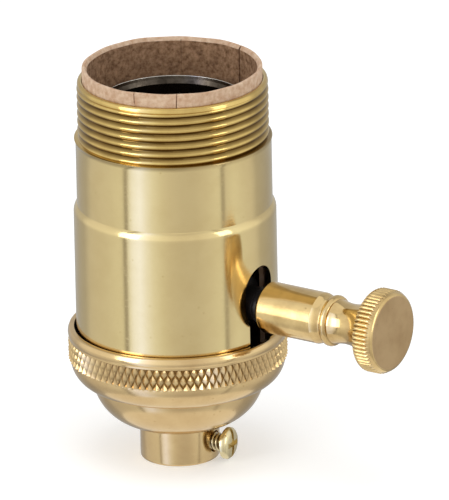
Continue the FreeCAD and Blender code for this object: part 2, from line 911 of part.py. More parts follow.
def make_load_contact():
    """Blade that hangs beside the rotor bridge from the chamber roof, held by the centre rivet."""
    body = new_body("load_contact")
    thick = S["blade_thickness"]
    roof_end = S["centre_rivet_head"] + S["rivet_room"]
    sketch = new_sketch(body, "YZ_Plane", blade_start)
    draw(sketch, [
        (blade_inside, shaft - S["blade_overlap"]),
        (blade_outside, shaft - S["blade_overlap"]),
        (blade_outside, chamber_top),
        (-roof_end, chamber_top),
        (-roof_end, chamber_top - thick),
        (blade_inside, chamber_top - thick),
    ])
    pad(body, sketch, S["blade_width"])
    arm = new_sketch(body, "XY_Plane", chamber_top - thick)
    draw(arm, rectangle(-roof_end, blade_start + thick, -roof_end, roof_end))
    pad(body, arm, thick)
    cut_holes(body, "XY_Plane", chamber_top - thick * 2, S["centre_rivet_radius"], [(0, 0)],
              thick * 3)
    return body


def make_detent_spring():
    """Leaf spring under the chamber roof, which snaps the cam from one quarter turn to the next."""
    body = new_body("detent_spring")
    thick = S["leaf_thickness"]
    low = leaf_bottom
    flat = S["leaf_half_flat"]
    span = S["leaf_half_span"]
    sketch = new_sketch(body, "YZ_Plane", S["leaf_start"])
    draw(sketch, [
        (-span, chamber_top - thick),
        (-flat, low),
        (flat, low),
        (span, chamber_top - thick),
        (span, chamber_top),
        (flat, low + thick),
        (-flat, low + thick),
        (-span, chamber_top),
    ])
    pad(body, sketch, S["leaf_width"])
    return body


def make_terminal_screw(label, turn):
    """Binding screw of a terminal, straight into the side of the block."""
    return make_screw(
        label, (0, 0, terminal_screw_height), turn,
        S["terminal_screw_radius"], S["flat_distance"] - S["terminal_screw_length"],
        terminal_outside, S["terminal_head_radius"], S["terminal_head_height"],
        S["set_screw_dome"],
    )


def make_hot_terminal():
    """Brass plate on the block's flat, standing on the foot of the line blade."""
    body = new_body("hot_terminal")
    half = S["terminal_half_width"]
    low = block_bottom + S["blade_thickness"]
    high = terminal_screw_height + S["terminal_above_screw"]
    sketch = new_sketch(body, "XZ_Plane", S["flat_distance"])
    corner = S["terminal_thickness"]
    draw(sketch, [
        (-half, low),
        (half, low),
        (half, high - corner),
        (half - corner, high, corner, -1),
        (corner - half, high),
        (-half, high - corner, corner, -1),
    ])
    draw_circle(sketch, S["terminal_screw_radius"], 0, terminal_screw_height)
    pad(body, sketch, S["terminal_thickness"])
    return body


def make_neutral_terminal():
    """Plated strap from its binding screw up over the insulating disc, under the screw shell."""
    body = new_body("neutral_terminal")
    half = S["strap_half_width"]
    thick = S["terminal_thickness"]
    flat = S["flat_distance"]
    low = block_bottom + S["strap_foot"]
    side = new_sketch(body, "YZ_Plane", -half)
    draw(side, [
        (flat, low),
        (terminal_outside, low),
        (terminal_outside, disc_top),
        (S["strap_inner_end"], disc_top),
        (S["strap_inner_end"], disc_top - thick),
        (flat, disc_top - thick),
    ])
    pad(body, side, half * 2)
    hole = new_sketch(body, "XZ_Plane", -terminal_outside - past)
    draw_circle(hole, S["terminal_screw_radius"], 0, terminal_screw_height)
    cut(body, hole, thick + 2 * past)
    cut_holes(body, "XY_Plane", disc_top - thick - past, S["shell_rivet_radius"],
              [(0, S["shell_rivet_y"])], thick + 2 * past)
    return body


def make_insulating_disc():
    """Fibre disc between the block and the screw shell, let in for the neutral strap."""
    body = new_body("insulating_disc")
    sketch = new_sketch(body, "XY_Plane", block_top)
    draw_circle(sketch, S["block_radius"])
    draw_circle(sketch, S["centre_rivet_radius"])
    pad(body, sketch, S["disc_thickness"])
    side = S["shell_rivet_y"]
    cut_holes(body, "XY_Plane", block_top - past, S["shell_rivet_radius"],
              [(0, side), (0, -side)], S["disc_thickness"] + 2 * past)
    half = S["strap_half_width"]
    outside = S["block_radius"] + past
    for near, low in ((S["strap_inner_end"], disc_top - S["terminal_thickness"]),
                      (S["flat_distance"], block_top - past)):
        recess = new_sketch(body, "XY_Plane", low)
        draw(recess, rectangle(-half, half, near, outside))
        cut(body, recess, S["disc_thickness"] + 2 * past)
    return body


def make_centre_contact():
    """Springy brass tongue that the bulb's tip presses on."""
    body = new_body("centre_contact")
    thick = S["contact_thickness"]
    reach = S["contact_reach"]
    rise = S["contact_rise"]
    low = disc_top
    sketch = new_sketch(body, "XZ_Plane", -S["contact_width"] / 2)
    draw(sketch, [
        (-reach, low),
        (reach - thick, low),
        (reach, low + thick),
        (reach, low + rise / 3 + thick),
        (-reach / 2, low + rise),
        (-reach / 2 - thick / 2, low + rise - thick),
        (reach - thick, low + rise / 3),
        (reach - thick, low + thick),
        (-reach, low + thick),
    ])
    pad(body, sketch, S["contact_width"])
    cut_holes(body, "XY_Plane", low - past, S["centre_rivet_radius"], [(0, 0)],
              thick * 2 + past)
    return body


def rolled_skin(radius, floor):
    """One skin of the rolled screw shell, as a solid from its floor up to its flared rim.

    A rolled thread is a round tube whose middle walks around a small helix, so the skin is a
    loft through level circles whose centres lie on that helix.
    """
    wave = S["bulb_thread_wave"].value
    steps = int(S["bulb_thread_steps"].value)
    turns = int(S["bulb_thread_turns"].value)
    start = (disc_top + S["bulb_thread_start"]).value
    rise = S["bulb_thread_pitch"].value / steps
    circles = [(0, 0, floor, radius)]
    for step in range(turns * steps + 1):
        angle = 2 * math.pi * step / steps
        runout = min(1, step / steps, turns - step / steps)
        x = wave * runout * math.cos(angle)
        y = wave * runout * math.sin(angle)
        circles.append((x, y, start + rise * step, radius))
    rim = (bulb_shell_top - S["bulb_rim_height"]).value
    circles.append((0, 0, rim, radius))
    circles.append((0, 0, bulb_shell_top.value, radius + S["bulb_rim_out"].value))
    up = FreeCAD.Vector(0, 0, 1)
    rings = [Part.Wire([Part.makeCircle(r, FreeCAD.Vector(x, y, z), up)]) for x, y, z, r in circles]
    return Part.makeLoft(rings, True, True)


def make_screw_shell():
    """Rolled screw shell for the bulb, with the hole for the centre contact in its floor."""
    bore = S["bulb_shell_radius"].value
    wall = S["bulb_shell_wall"].value
    low = disc_top.value
    shell = rolled_skin(bore + wall, low).cut(rolled_skin(bore, low + wall))
    side = S["shell_rivet_y"].value
    for radius, y in (
        (S["contact_hole_radius"].value, 0),
        (S["shell_rivet_radius"].value, side),
        (S["shell_rivet_radius"].value, -side),
    ):
        shell = shell.cut(Part.makeCylinder(radius, 2 * wall, FreeCAD.Vector(0, y, low - wall / 2)))
    feature = DOC.addObject("Part::Feature", "screw_shell")
    feature.Label = "screw_shell"
    feature.Shape = shell
    return feature


def make_turn_knob():
    """Turned brass knob: sleeve, bead, flared waist and a straight-knurled head."""
    body = new_body("turn_knob", (0, 0, shaft))
    start = S["knob_start"]
    sleeve_end = start + S["sleeve_length"]
    taper_end = sleeve_end + S["sleeve_taper"]
    bead_start = taper_end + S["head_edge"]
    bead_end = bead_start + S["bead_width"]
    head_back = bead_end + S["waist_length"]
    head_front = head_back + S["head_width"]
    face = head_front + S["face_bulge"]
    edge = S["head_edge"]
    bore = S["shaft_radius"]
    root = S["head_radius"] - edge
    turned(body, [
        (start, bore),
        (start, S["sleeve_radius"] - edge),
        (start + edge, S["sleeve_radius"], edge, 1),
        (sleeve_end, S["sleeve_radius"]),
        (taper_end, S["groove_radius"], S["taper_curve"], 1),
        (bead_start, S["groove_radius"]),
        (bead_end, S["waist_radius"] + edge, S["bead_curve"], 1),
        (head_back, S["flare_radius"], S["waist_length"], -1),
        (head_back, root),
        (head_back + edge, S["head_radius"]),
        (head_front - edge, S["head_radius"]),
        (head_front, root),
        (face, S["head_radius"] - S["face_rim"], S["face_curve"], 1),
        (face, 0),
        (start + S["shaft_in_knob"], 0),
        (start + S["shaft_in_knob"], bore),
    ], axis="H_Axis")
    sketch = new_sketch(body, "YZ_Plane", head_back - edge)
    half = S["ridge_gap"] / 2
    deep = S["head_radius"] - S["ridge_depth"]
    high = S["head_radius"] + edge
    draw(sketch, [(-half / 3, deep), (half / 3, deep), (half * 2, high), (-half * 2, high)])
    groove = cut(body, sketch, S["head_width"] + 2 * edge)
    pattern_round(body, groove, sketch, "N_Axis", S["ridge_count"])
    return body


def make_all():
    """Every sub-part of the socket."""
    return [
        make_cap(),
        make_set_screw(),
        make_cap_liner(),
        make_shell(),
        make_shell_liner(),
        make_switch_base(),
        make_switch_body(),
        *make_body_rivets(),
        make_switch_shaft(),
        make_rotor(),
        make_rotor_contact(),
        make_shaft_clip(),
        make_line_contact(),
        make_load_contact(),
        make_detent_spring(),
        make_hot_terminal(),
        make_terminal_screw("hot_terminal_screw", -90),
        make_neutral_terminal(),
        make_terminal_screw("neutral_terminal_screw", 90),
        make_insulating_disc(),
        make_screw_shell(),
        *make_shell_rivets(),
        make_centre_contact(),
        make_centre_rivet(),
        make_turn_knob(),
    ]


def check_document(parts):
    """Stop if any object failed or any sub-part has no sound shape."""
    for item in DOC.Objects:
        if "Invalid" in item.State or "Error" in item.State:
            raise ValueError("{} failed: {}".format(item.Name, item.State))
    for part in parts:
        if part.Shape.isNull() or not part.Shape.isValid() or not part.Shape.Solids:
            raise ValueError("{} has no sound shape".format(part.Label))


sub_parts = make_all()
DOC.recompute()
check_document(sub_parts)
os.makedirs("parts", exist_ok=True)
for sub_part in sub_parts:
    sub_part.Shape.exportStep(os.path.join("parts", sub_part.Label + ".step"))
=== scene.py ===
# %% [markdown]
# # A turn knob lamp socket, turned from solid brass
# The socket stands on its neck. A knurled cap holds a plain shell with a rolled thread at the
# top, a fibre liner shows above it, and a turned knob comes out through a keyhole in the side.
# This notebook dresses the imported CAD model: the shapes stay where the CAD has them, and each
# visible piece gets the finer form and the finish of the real one.
# Sizes of the socket are in millimetres, which MM turns to metres, and the studio's in metres.

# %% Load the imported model
import math

import bmesh
import bpy
from mathutils import Matrix, Vector


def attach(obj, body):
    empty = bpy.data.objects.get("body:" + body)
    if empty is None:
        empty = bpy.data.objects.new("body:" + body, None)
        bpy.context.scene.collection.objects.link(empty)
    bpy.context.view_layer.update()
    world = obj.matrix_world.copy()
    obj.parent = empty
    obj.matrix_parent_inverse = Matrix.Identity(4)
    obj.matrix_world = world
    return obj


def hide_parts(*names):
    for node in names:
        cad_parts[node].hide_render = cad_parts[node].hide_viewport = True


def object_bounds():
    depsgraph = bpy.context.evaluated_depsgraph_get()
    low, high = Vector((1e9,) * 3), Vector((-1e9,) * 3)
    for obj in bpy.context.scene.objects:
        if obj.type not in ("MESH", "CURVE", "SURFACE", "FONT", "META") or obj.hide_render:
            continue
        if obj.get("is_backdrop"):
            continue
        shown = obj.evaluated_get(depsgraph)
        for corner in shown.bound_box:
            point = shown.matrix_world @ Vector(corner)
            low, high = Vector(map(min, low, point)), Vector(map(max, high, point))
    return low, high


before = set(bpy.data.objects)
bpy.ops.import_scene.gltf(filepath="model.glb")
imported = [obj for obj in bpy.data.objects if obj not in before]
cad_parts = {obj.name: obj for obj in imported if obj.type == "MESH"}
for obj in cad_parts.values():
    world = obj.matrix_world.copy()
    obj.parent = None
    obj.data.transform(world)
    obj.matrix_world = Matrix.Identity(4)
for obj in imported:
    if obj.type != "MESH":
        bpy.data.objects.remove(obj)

MM = 0.001
SHAFT = 33.2
cad_box = [list(corner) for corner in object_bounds()]

# %% [markdown]
# ## The camera
# The rims at the top and at the foot of the socket are ellipses of the same flatness, so the
# photograph was taken with a long lens from about three metres away, to the left of the knob
# and 20 degrees above. The picture leans a little over one degree. The lens follows from how
# many millimetres one pixel covers at the socket. The camera turns a little to the right so
# that the socket stands left of the middle, which keeps the lens unshifted.

# %% Place the camera
PICTURE = (449, 500)
TARGET = Vector((0, 0, 38)) * MM
TARGET_PIXEL = (176.2, 263.0)
DISTANCE = 3000 * MM
PIXEL = 0.187 * MM
AZIMUTH, ELEVATION, LEAN = 34.5, 19.9, 1.25


def direction(azimuth, elevation):
    """The unit vector from the socket to a camera or lamp at these angles, in degrees."""
    a, e = math.radians(azimuth), math.radians(elevation)
    return Vector((math.sin(a) * math.cos(e), -math.cos(a) * math.cos(e), math.sin(e)))


back = direction(AZIMUTH, ELEVATION)
level_right = Vector((0, 0, 1)).cross(back).normalized()
level_up = back.cross(level_right)
lean = math.radians(LEAN)
up = level_up * math.cos(lean) + level_right * math.sin(lean)
right = level_right * math.cos(lean) - level_up * math.sin(lean)
aim = TARGET + right * (PICTURE[0] / 2 - TARGET_PIXEL[0]) * PIXEL
aim += up * (TARGET_PIXEL[1] - PICTURE[1] / 2) * PIXEL
place = TARGET + back * DISTANCE
forward = (aim - place).normalized()
side = forward.cross(up).normalized()
turn = Matrix((side, side.cross(forward), -forward)).transposed()

lens = bpy.data.cameras.new("camera")
lens.sensor_width = 36.0
lens.lens = lens.sensor_width * DISTANCE / (PIXEL * max(PICTURE))
lens.clip_start, lens.clip_end = 0.05, 20.0
camera = bpy.data.objects.new("camera", lens)
camera.matrix_world = Matrix.Translation(place) @ turn.to_4x4()
bpy.context.collection.objects.link(camera)
bpy.context.scene.camera = camera
print("lens", round(lens.lens), "mm, camera at", [round(c, 3) for c in place])

# %% [markdown]
# ## Colours and nodes
# A colour is written as it would be picked from a picture, in sRGB hex, and one function turns
# it to the linear values that Blender mixes. Another small function adds a node with its
# settings and its links, so that a material reads as a list of what it is made of.


# %% Helpers for materials
def linear(code):
    """An sRGB hex colour as linear RGBA."""
    parts = [int(code[i:i + 2], 16) / 255 for i in (1, 3, 5)]
    return (*[c / 12.92 if c <= 0.04045 else ((c + 0.055) / 1.055) ** 2.4 for c in parts], 1.0)


def add_node(tree, kind, inputs=None, **settings):
    """Add a node with its settings; an input is a value or the output that feeds it."""
    node = tree.nodes.new(kind)
    for name, value in settings.items():
        setattr(node, name, value)
    for key, value in (inputs or {}).items():
        if isinstance(value, bpy.types.NodeSocket):
            tree.links.new(value, node.inputs[key])
        else:
            node.inputs[key].default_value = value
    return node


def new_material(name):
    """An empty material and its node tree."""
    material = bpy.data.materials.new(name)
    material.use_nodes = True
    material.node_tree.nodes.clear()
    return material, material.node_tree


# %% [markdown]
# ## Floor and light
# The picture is a product shot on white. The background is white because the world and the
# floor are white to the camera and in reflections, not because more light falls on the brass.
# Brass shows its shape only through what it mirrors. The photographer stood it in a white
# cloth tent with a lamp outside at the left and a weaker one at the right. So the tent here is
# a round wall that only reflections see: it glows most where the lamps stand, less behind the
# camera and least behind the socket. Two seams in it give the thin dark lines on the shell.
# The two side lamps hang above the horizon, so that only surfaces that look up a little mirror
# them: the crests of the thread, the upper sides of the diamonds and the lip.

# %% The white room
scene = bpy.context.scene
scene.view_settings.view_transform = "Standard"
world = bpy.data.worlds.new("white_room")
scene.world = world
world.use_nodes = True
sky = world.node_tree
sky.nodes.clear()
ray = add_node(sky, "ShaderNodeLightPath")
seen = add_node(sky, "ShaderNodeMath", {0: ray.outputs["Is Camera Ray"],
                                        1: ray.outputs["Is Glossy Ray"]}, operation="MAXIMUM")
seen = add_node(sky, "ShaderNodeMath", {0: seen.outputs[0],
                                        1: ray.outputs["Is Transmission Ray"]},
                operation="MAXIMUM")
room = add_node(sky, "ShaderNodeBackground", {"Color": linear("#F4F6FA"), "Strength": 0.72})
white = add_node(sky, "ShaderNodeBackground", {"Color": linear("#FFFFFF"), "Strength": 1.0})
both = add_node(sky, "ShaderNodeMixShader", {0: seen.outputs[0], 1: room.outputs[0],
                                             2: white.outputs[0]})
add_node(sky, "ShaderNodeOutputWorld", {"Surface": both.outputs[0]})


# %% Lamps
def softbox(name, azimuth, elevation, distance, width, height, glow, mirrored):
    """An area lamp that faces the socket; a glow of 1 looks white where metal mirrors it."""
    lamp = bpy.data.lights.new(name, "AREA")
    lamp.shape = "RECTANGLE"
    lamp.size, lamp.size_y = width, height
    lamp.energy = glow * math.pi * width * height
    holder = bpy.data.objects.new(name, lamp)
    away = direction(azimuth, elevation)
    turned_to = away.to_track_quat("Z", "Y").to_matrix().to_4x4()
    holder.matrix_world = Matrix.Translation(TARGET + away * distance) @ turned_to
    holder.visible_camera = False
    holder.visible_glossy = mirrored
    bpy.context.collection.objects.link(holder)


def flat_sheet(name, corners, material):
    """A four-cornered sheet of the studio, which isn't part of the socket."""
    mesh = bpy.data.meshes.new(name)
    mesh.from_pydata([tuple(c) for c in corners], [], [(0, 1, 2, 3)])
    mesh.materials.append(material)
    sheet = bpy.data.objects.new(name, mesh)
    bpy.context.collection.objects.link(sheet)
    sheet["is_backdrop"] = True
    return sheet


softbox("key_softbox", AZIMUTH - 54, 12, 1.5, 0.62, 1.1, 3.0, True)
softbox("fill_softbox", AZIMUTH + 57, 16, 1.5, 0.42, 1.0, 2.2, True)
softbox("top_softbox", AZIMUTH - 10, 74, 1.4, 0.8, 0.8, 2.2, False)

# %% How the cloth glows
# How bright the cloth looks in each direction, in degrees to the right of the camera
CLOTH = [
    (-180, 0.50), (-150, 0.52), (-128, 0.56), (-116, 0.77), (-100, 0.82), (-84, 0.87),
    (-67, 0.97), (-63, 0.92), (-61.5, 0.42), (-58, 0.42), (-56.5, 1.1), (-51, 1.42),
    (-42, 1.56), (-34, 1.31), (-26, 1.1), (-16, 0.92), (-6, 0.82), (8, 0.76), (22, 0.76),
    (36, 0.84), (50, 0.95), (55, 0.95), (56.5, 0.5), (60, 0.5), (62, 0.86), (73, 0.98),
    (88, 0.90), (102, 0.83), (113, 0.60), (140, 0.50), (180, 0.50),
]
# How much brighter or darker it gets with height, in metres above the socket's foot: upright
# brass mirrors the part at 0.6 m below the foot, and what looks up mirrors the open cloth above
STOREYS = [(-1.9, 0.95), (-1.7, 0.86), (-1.3, 0.8), (-0.8, 0.98), (-0.5, 1.0), (0.0, 1.3),
           (1.2, 1.25), (2.6, 0.95)]
# A colour ramp holds values up to 1, so each list is divided by at least its largest, tinted
BRIGHTEST, TALLEST = 2.6, 1.3
TENT_RADIUS, TENT_LOW, TENT_HIGH, TENT_SIDES = 1.7, -1.9, 2.6, 96


def cloth_colour(glow):
    """The cloth's colour at a glow: it is cooler in front of a lamp than elsewhere."""
    red = 1 / (1 + 0.2 * max(0.0, glow - 0.8))
    blue = 1 + 0.9 * max(0.0, glow - 1.0)
    return [glow * tint / BRIGHTEST for tint in (red, 1.0, blue)] + [1.0]


def fill_ramp(ramp, stops):
    """Give a colour ramp node its (place, colour) stops; it comes with two of its own."""
    elements = ramp.color_ramp.elements
    for number, (place_on_ramp, colour) in enumerate(stops):
        stop = elements[number] if number < 2 else elements.new(place_on_ramp)
        stop.position = place_on_ramp
        stop.color = colour


print("the cloth glows from", min(glow for _, glow in CLOTH), "to", max(glow for _, glow in CLOTH))

# %% Weave the cloth
cloth, tree = new_material("tent_cloth")
spot = add_node(tree, "ShaderNodeTexCoord")
turned_round = add_node(tree, "ShaderNodeMapping", {
    "Vector": spot.outputs["Object"], "Rotation": (0, 0, math.radians(90 - AZIMUTH))})
flat = add_node(tree, "ShaderNodeSeparateXYZ", {0: turned_round.outputs[0]})
bearing = add_node(tree, "ShaderNodeMath", {0: flat.outputs["Y"], 1: flat.outputs["X"]},
                   operation="ARCTAN2")
share = add_node(tree, "ShaderNodeMapRange", {
    "Value": bearing.outputs[0], "From Min": -math.pi, "From Max": math.pi})
by_bearing = add_node(tree, "ShaderNodeValToRGB", {0: share.outputs[0]})
fill_ramp(by_bearing, [(angle / 360 + 0.5, cloth_colour(glow)) for angle, glow in CLOTH])
height = add_node(tree, "ShaderNodeMapRange", {
    "Value": flat.outputs["Z"], "From Min": TENT_LOW, "From Max": TENT_HIGH})
by_height = add_node(tree, "ShaderNodeValToRGB", {0: height.outputs[0]})
fill_ramp(by_height, [((level - TENT_LOW) / (TENT_HIGH - TENT_LOW), [part / TALLEST] * 3 + [1.0])
                      for level, part in STOREYS])
lit = add_node(tree, "ShaderNodeMath", {0: by_height.outputs[0], 1: BRIGHTEST * TALLEST},
               operation="MULTIPLY")
glowing = add_node(tree, "ShaderNodeEmission", {
    "Color": by_bearing.outputs[0], "Strength": lit.outputs[0]})
add_node(tree, "ShaderNodeOutputMaterial", {"Surface": glowing.outputs[0]})
print("cloth has", len(tree.nodes), "nodes")

# %% Hang the tent
rim = [(TENT_RADIUS * math.cos(2 * math.pi * k / TENT_SIDES),
        TENT_RADIUS * math.sin(2 * math.pi * k / TENT_SIDES)) for k in range(TENT_SIDES)]
mesh = bpy.data.meshes.new("tent")
mesh.from_pydata([(x, y, z) for z in (TENT_LOW, TENT_HIGH) for x, y in rim], [],
                 [(k, (k + 1) % TENT_SIDES, TENT_SIDES + (k + 1) % TENT_SIDES, TENT_SIDES + k)
                  for k in range(TENT_SIDES)])
mesh.materials.append(cloth)
tent = bpy.data.objects.new("tent", mesh)
bpy.context.collection.objects.link(tent)
tent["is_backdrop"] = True
# Only reflections see it
tent.visible_camera = False
tent.visible_diffuse = False
tent.visible_shadow = False
tent.visible_transmission = False
print("tent of", 2 * TENT_RADIUS, "m across")

# %% Floor
# Half the side of the paper in metres, and how much it glows to the camera of its own
HALF_PAPER, PAPER_GLOW = 6.0, 0.36
paper, tree = new_material("white_paper")
ray = add_node(tree, "ShaderNodeLightPath")
seen = add_node(tree, "ShaderNodeMath", {0: ray.outputs["Is Camera Ray"],
                                         1: ray.outputs["Is Glossy Ray"]}, operation="MAXIMUM")
lift = add_node(tree, "ShaderNodeMath", {0: seen.outputs[0], 1: PAPER_GLOW},
                operation="MULTIPLY")
matt = add_node(tree, "ShaderNodeBsdfDiffuse", {"Color": linear("#EDEDEB")})
glow = add_node(tree, "ShaderNodeEmission", {"Color": linear("#FFFFFF"),
                                             "Strength": lift.outputs[0]})
sheet = add_node(tree, "ShaderNodeAddShader", {0: matt.outputs[0], 1: glow.outputs[0]})
add_node(tree, "ShaderNodeOutputMaterial", {"Surface": sheet.outputs[0]})
floor = flat_sheet("floor", [(-HALF_PAPER, -HALF_PAPER, 0), (HALF_PAPER, -HALF_PAPER, 0),
                             (HALF_PAPER, HALF_PAPER, 0), (-HALF_PAPER, HALF_PAPER, 0)], paper)
floor.visible_glossy = False

# %% [markdown]
# ## Brass
# Brass is a metal, so its colour is the colour of its reflection. Three things make it look
# turned and old: fine rings that the tool left around the axis, a brown tarnish in soft clouds,
# and small specks and scratches. A dark brown is also painted into the hollows of threads and
# knurls, partly tarnish and partly painted shade where their grooves lie in shade. The rings are
# a noise that is read only along the axis and outwards from it, so that it stays the same all
# the way round. The hollows come from an attribute that the pieces with threads and knurls
# carry, and the seat behind the cap's lip is painted dark through it too, as painted shade. The
# thread of the shell has a darker brass than the rest, and the knob's face is satin, not
# polished.


# %% Brass, from one recipe in several tones
def turned_brass(name, bright, dull, axis, rough, rings=0.12, clouds=0.3, spread=0.55):
    """Antique brass turned about an axis through the socket ("Z") or through the knob ("X")."""
    material, tree = new_material(name)
    spot = add_node(tree, "ShaderNodeTexCoord")
    centred = add_node(tree, "ShaderNodeMapping", {
        "Vector": spot.outputs["Object"],
        "Location": (0, 0, -SHAFT * MM if axis == "X" else 0),
    })
    part = add_node(tree, "ShaderNodeSeparateXYZ", {0: centred.outputs[0]})
    along = part.outputs[axis]
    other = part.outputs["Y"] if axis == "X" else part.outputs["X"]
    third = part.outputs["Z"] if axis == "X" else part.outputs["Y"]
    flat = add_node(tree, "ShaderNodeCombineXYZ", {0: other, 1: third})
    radius = add_node(tree, "ShaderNodeVectorMath", {0: flat.outputs[0]}, operation="LENGTH")
    section = add_node(tree, "ShaderNodeCombineXYZ", {0: radius.outputs["Value"], 1: along})
    # Real tool rings are finer than this, but 0.35 mm is the finest that shows
    ring = add_node(tree, "ShaderNodeTexNoise", {
        "Vector": section.outputs[0], "Scale": 1 / (0.35 * MM), "Detail": 3.0, "Roughness": 0.7,
    })
    # Clouds of tarnish, 6 mm across, with a finer grain of 1 mm
    cloud = add_node(tree, "ShaderNodeTexNoise", {
        "Vector": centred.outputs[0], "Scale": 1 / (6 * MM), "Detail": 6.0, "Roughness": 0.6,
    })
    cloudy = add_node(tree, "ShaderNodeMapRange", {
        "Value": cloud.outputs["Fac"], "From Min": 0.42, "From Max": 0.75,
        "To Min": 0.0, "To Max": clouds,
    })
    # Specks of corrosion, one in a 2.5 mm cell and up to 0.4 mm across
    speck = add_node(tree, "ShaderNodeTexVoronoi", {
        "Vector": centred.outputs[0], "Scale": 1 / (2.5 * MM), "Randomness": 1.0,
    })
    speckled = add_node(tree, "ShaderNodeMapRange", {
        "Value": speck.outputs["Distance"], "From Min": 0.05, "From Max": 0.085,
        "To Min": 0.45, "To Max": 0.0,
    })
    worn = add_node(tree, "ShaderNodeMath", {0: cloudy.outputs[0], 1: speckled.outputs[0]},
                    operation="MAXIMUM")
    # The attribute "hollow" says how deep a point lies in a thread or knurl; the dark brown it
    # mixes in is partly tarnish and partly painted shade in the grooves
    hollow = add_node(tree, "ShaderNodeAttribute", attribute_name="hollow")
    groove_shade_and_tarnish = add_node(tree, "ShaderNodeMath", {0: hollow.outputs["Fac"], 1: 0.92},
                     operation="MULTIPLY")
    colour = add_node(tree, "ShaderNodeMix", {
        0: worn.outputs[0], 6: linear(bright), 7: linear(dull),
    }, data_type="RGBA")
    # The dark brown of the hollows: partly tarnish, partly painted shade
    colour = add_node(tree, "ShaderNodeMix", {
        0: groove_shade_and_tarnish.outputs[0], 6: colour.outputs[2], 7: linear("#54380F"),
    }, data_type="RGBA")
    # Fine scratches, 0.09 mm wide and up to a few millimetres long, at a slant to the axes
    slanted = add_node(tree, "ShaderNodeMapping", {
        "Vector": centred.outputs[0], "Rotation": (0.5, 0.9, 0.3), "Scale": (1, 1, 26),
    })
    scratch = add_node(tree, "ShaderNodeTexNoise", {
        "Vector": slanted.outputs[0], "Scale": 1 / (2.4 * MM), "Detail": 1.0,
    })
    scratched = add_node(tree, "ShaderNodeMapRange", {
        "Value": scratch.outputs["Fac"], "From Min": 0.66, "From Max": 0.74,
        "To Min": 0.0, "To Max": 1.0,
    })
    uneven = add_node(tree, "ShaderNodeMath", {0: cloud.outputs["Fac"], 1: 0.12},
                      operation="MULTIPLY")
    matt = add_node(tree, "ShaderNodeMath", {0: uneven.outputs[0], 1: rough - 0.06},
                    operation="ADD")
    ringed = add_node(tree, "ShaderNodeBump", {
        "Height": ring.outputs["Fac"], "Strength": rings, "Distance": 0.05 * MM,
    })
    marked = add_node(tree, "ShaderNodeBump", {
        "Height": scratched.outputs[0], "Strength": 0.1, "Distance": -0.02 * MM,
        "Normal": ringed.outputs[0],
    })
    round_axis = add_node(tree, "ShaderNodeTangent", direction_type="RADIAL", axis=axis)
    # A quarter turn lays the smear of a highlight across the tool rings, as on turned metal
    metal = add_node(tree, "ShaderNodeBsdfPrincipled", {
        "Base Color": colour.outputs[2], "Metallic": 1.0, "Roughness": matt.outputs[0],
        "Anisotropic": spread, "Anisotropic Rotation": 0.25, "Tangent": round_axis.outputs[0],
        "Normal": marked.outputs[0],
    })
    add_node(tree, "ShaderNodeOutputMaterial", {"Surface": metal.outputs[0]})
    return material


shell_brass = turned_brass("satin_turned_brass", "#D9C38E", "#B89C60", "Z", 0.13, clouds=0.2)
thread_brass = turned_brass("tarnished_thread_brass", "#D3B570", "#8C6C30", "Z", 0.13, clouds=0.4)
cap_brass = turned_brass("polished_cap_brass", "#D7BA88", "#A98450", "Z", 0.17, rings=0.06,
                         spread=0.3)
knob_brass = turned_brass("polished_knob_brass", "#DFC188", "#94703A", "X", 0.12, clouds=0.6,
                          rings=0.06, spread=0.3)
face_brass = turned_brass("satin_face_brass", "#C2A479", "#99794F", "X", 0.42, clouds=0.5,
                          spread=0.0)
screw_brass = turned_brass("machined_screw_brass", "#DCCCA0", "#A28C58", "X", 0.22, spread=0.2)
contact_brass = turned_brass("sheet_contact_brass", "#C9A862", "#8E6D35", "Z", 0.3, spread=0.0)
print("brass materials", [m.name for m in bpy.data.materials if "brass" in m.name])

# %% [markdown]
# ## The other materials
# The liner is vulcanised fibre, a hard pressed paper: it is matt, tan, and mottled where it
# has soaked up dirt, and its inside is painted a darker brown as painted shade. The block is a
# black phenolic resin, pressed in a hot mould, with a dull shine. The screw shell is thin brass
# with a nickel plating, bright at its rim, and its inside is painted dark as painted shade; the
# shaft is steel.


# %% Fibre, phenolic, plating and steel
def mottled(name, light, dark, size, metallic, rough, relief):
    """A material whose colour and sheen drift between two tones, in patches of one size in mm."""
    material, tree = new_material(name)
    spot = add_node(tree, "ShaderNodeTexCoord")
    patch = add_node(tree, "ShaderNodeTexNoise", {
        "Vector": spot.outputs["Object"], "Scale": 1 / (size * MM), "Detail": 8.0,
        "Roughness": 0.65,
    })
    strength = add_node(tree, "ShaderNodeMapRange", {
        "Value": patch.outputs["Fac"], "From Min": 0.35, "From Max": 0.68,
    })
    colour = add_node(tree, "ShaderNodeMix", {
        0: strength.outputs[0], 6: linear(light), 7: linear(dark),
    }, data_type="RGBA")
    grain = add_node(tree, "ShaderNodeTexNoise", {
        "Vector": spot.outputs["Object"], "Scale": 1 / (size * MM * 0.12), "Detail": 4.0,
    })
    sheen = add_node(tree, "ShaderNodeMath", {0: strength.outputs[0], 1: 0.12},
                     operation="MULTIPLY")
    matt = add_node(tree, "ShaderNodeMath", {0: sheen.outputs[0], 1: rough}, operation="ADD")
    bump = add_node(tree, "ShaderNodeBump", {
        "Height": grain.outputs["Fac"], "Strength": relief, "Distance": 0.06 * MM,
    })
    surface = add_node(tree, "ShaderNodeBsdfPrincipled", {
        "Base Color": colour.outputs[2], "Metallic": metallic, "Roughness": matt.outputs[0],
        "Normal": bump.outputs[0],
    })
    add_node(tree, "ShaderNodeOutputMaterial", {"Surface": surface.outputs[0]})
    return material


fibre = mottled("vulcanised_fibre", "#DCBFA0", "#BC9270", 1.2, 0.0, 0.8, 1.0)
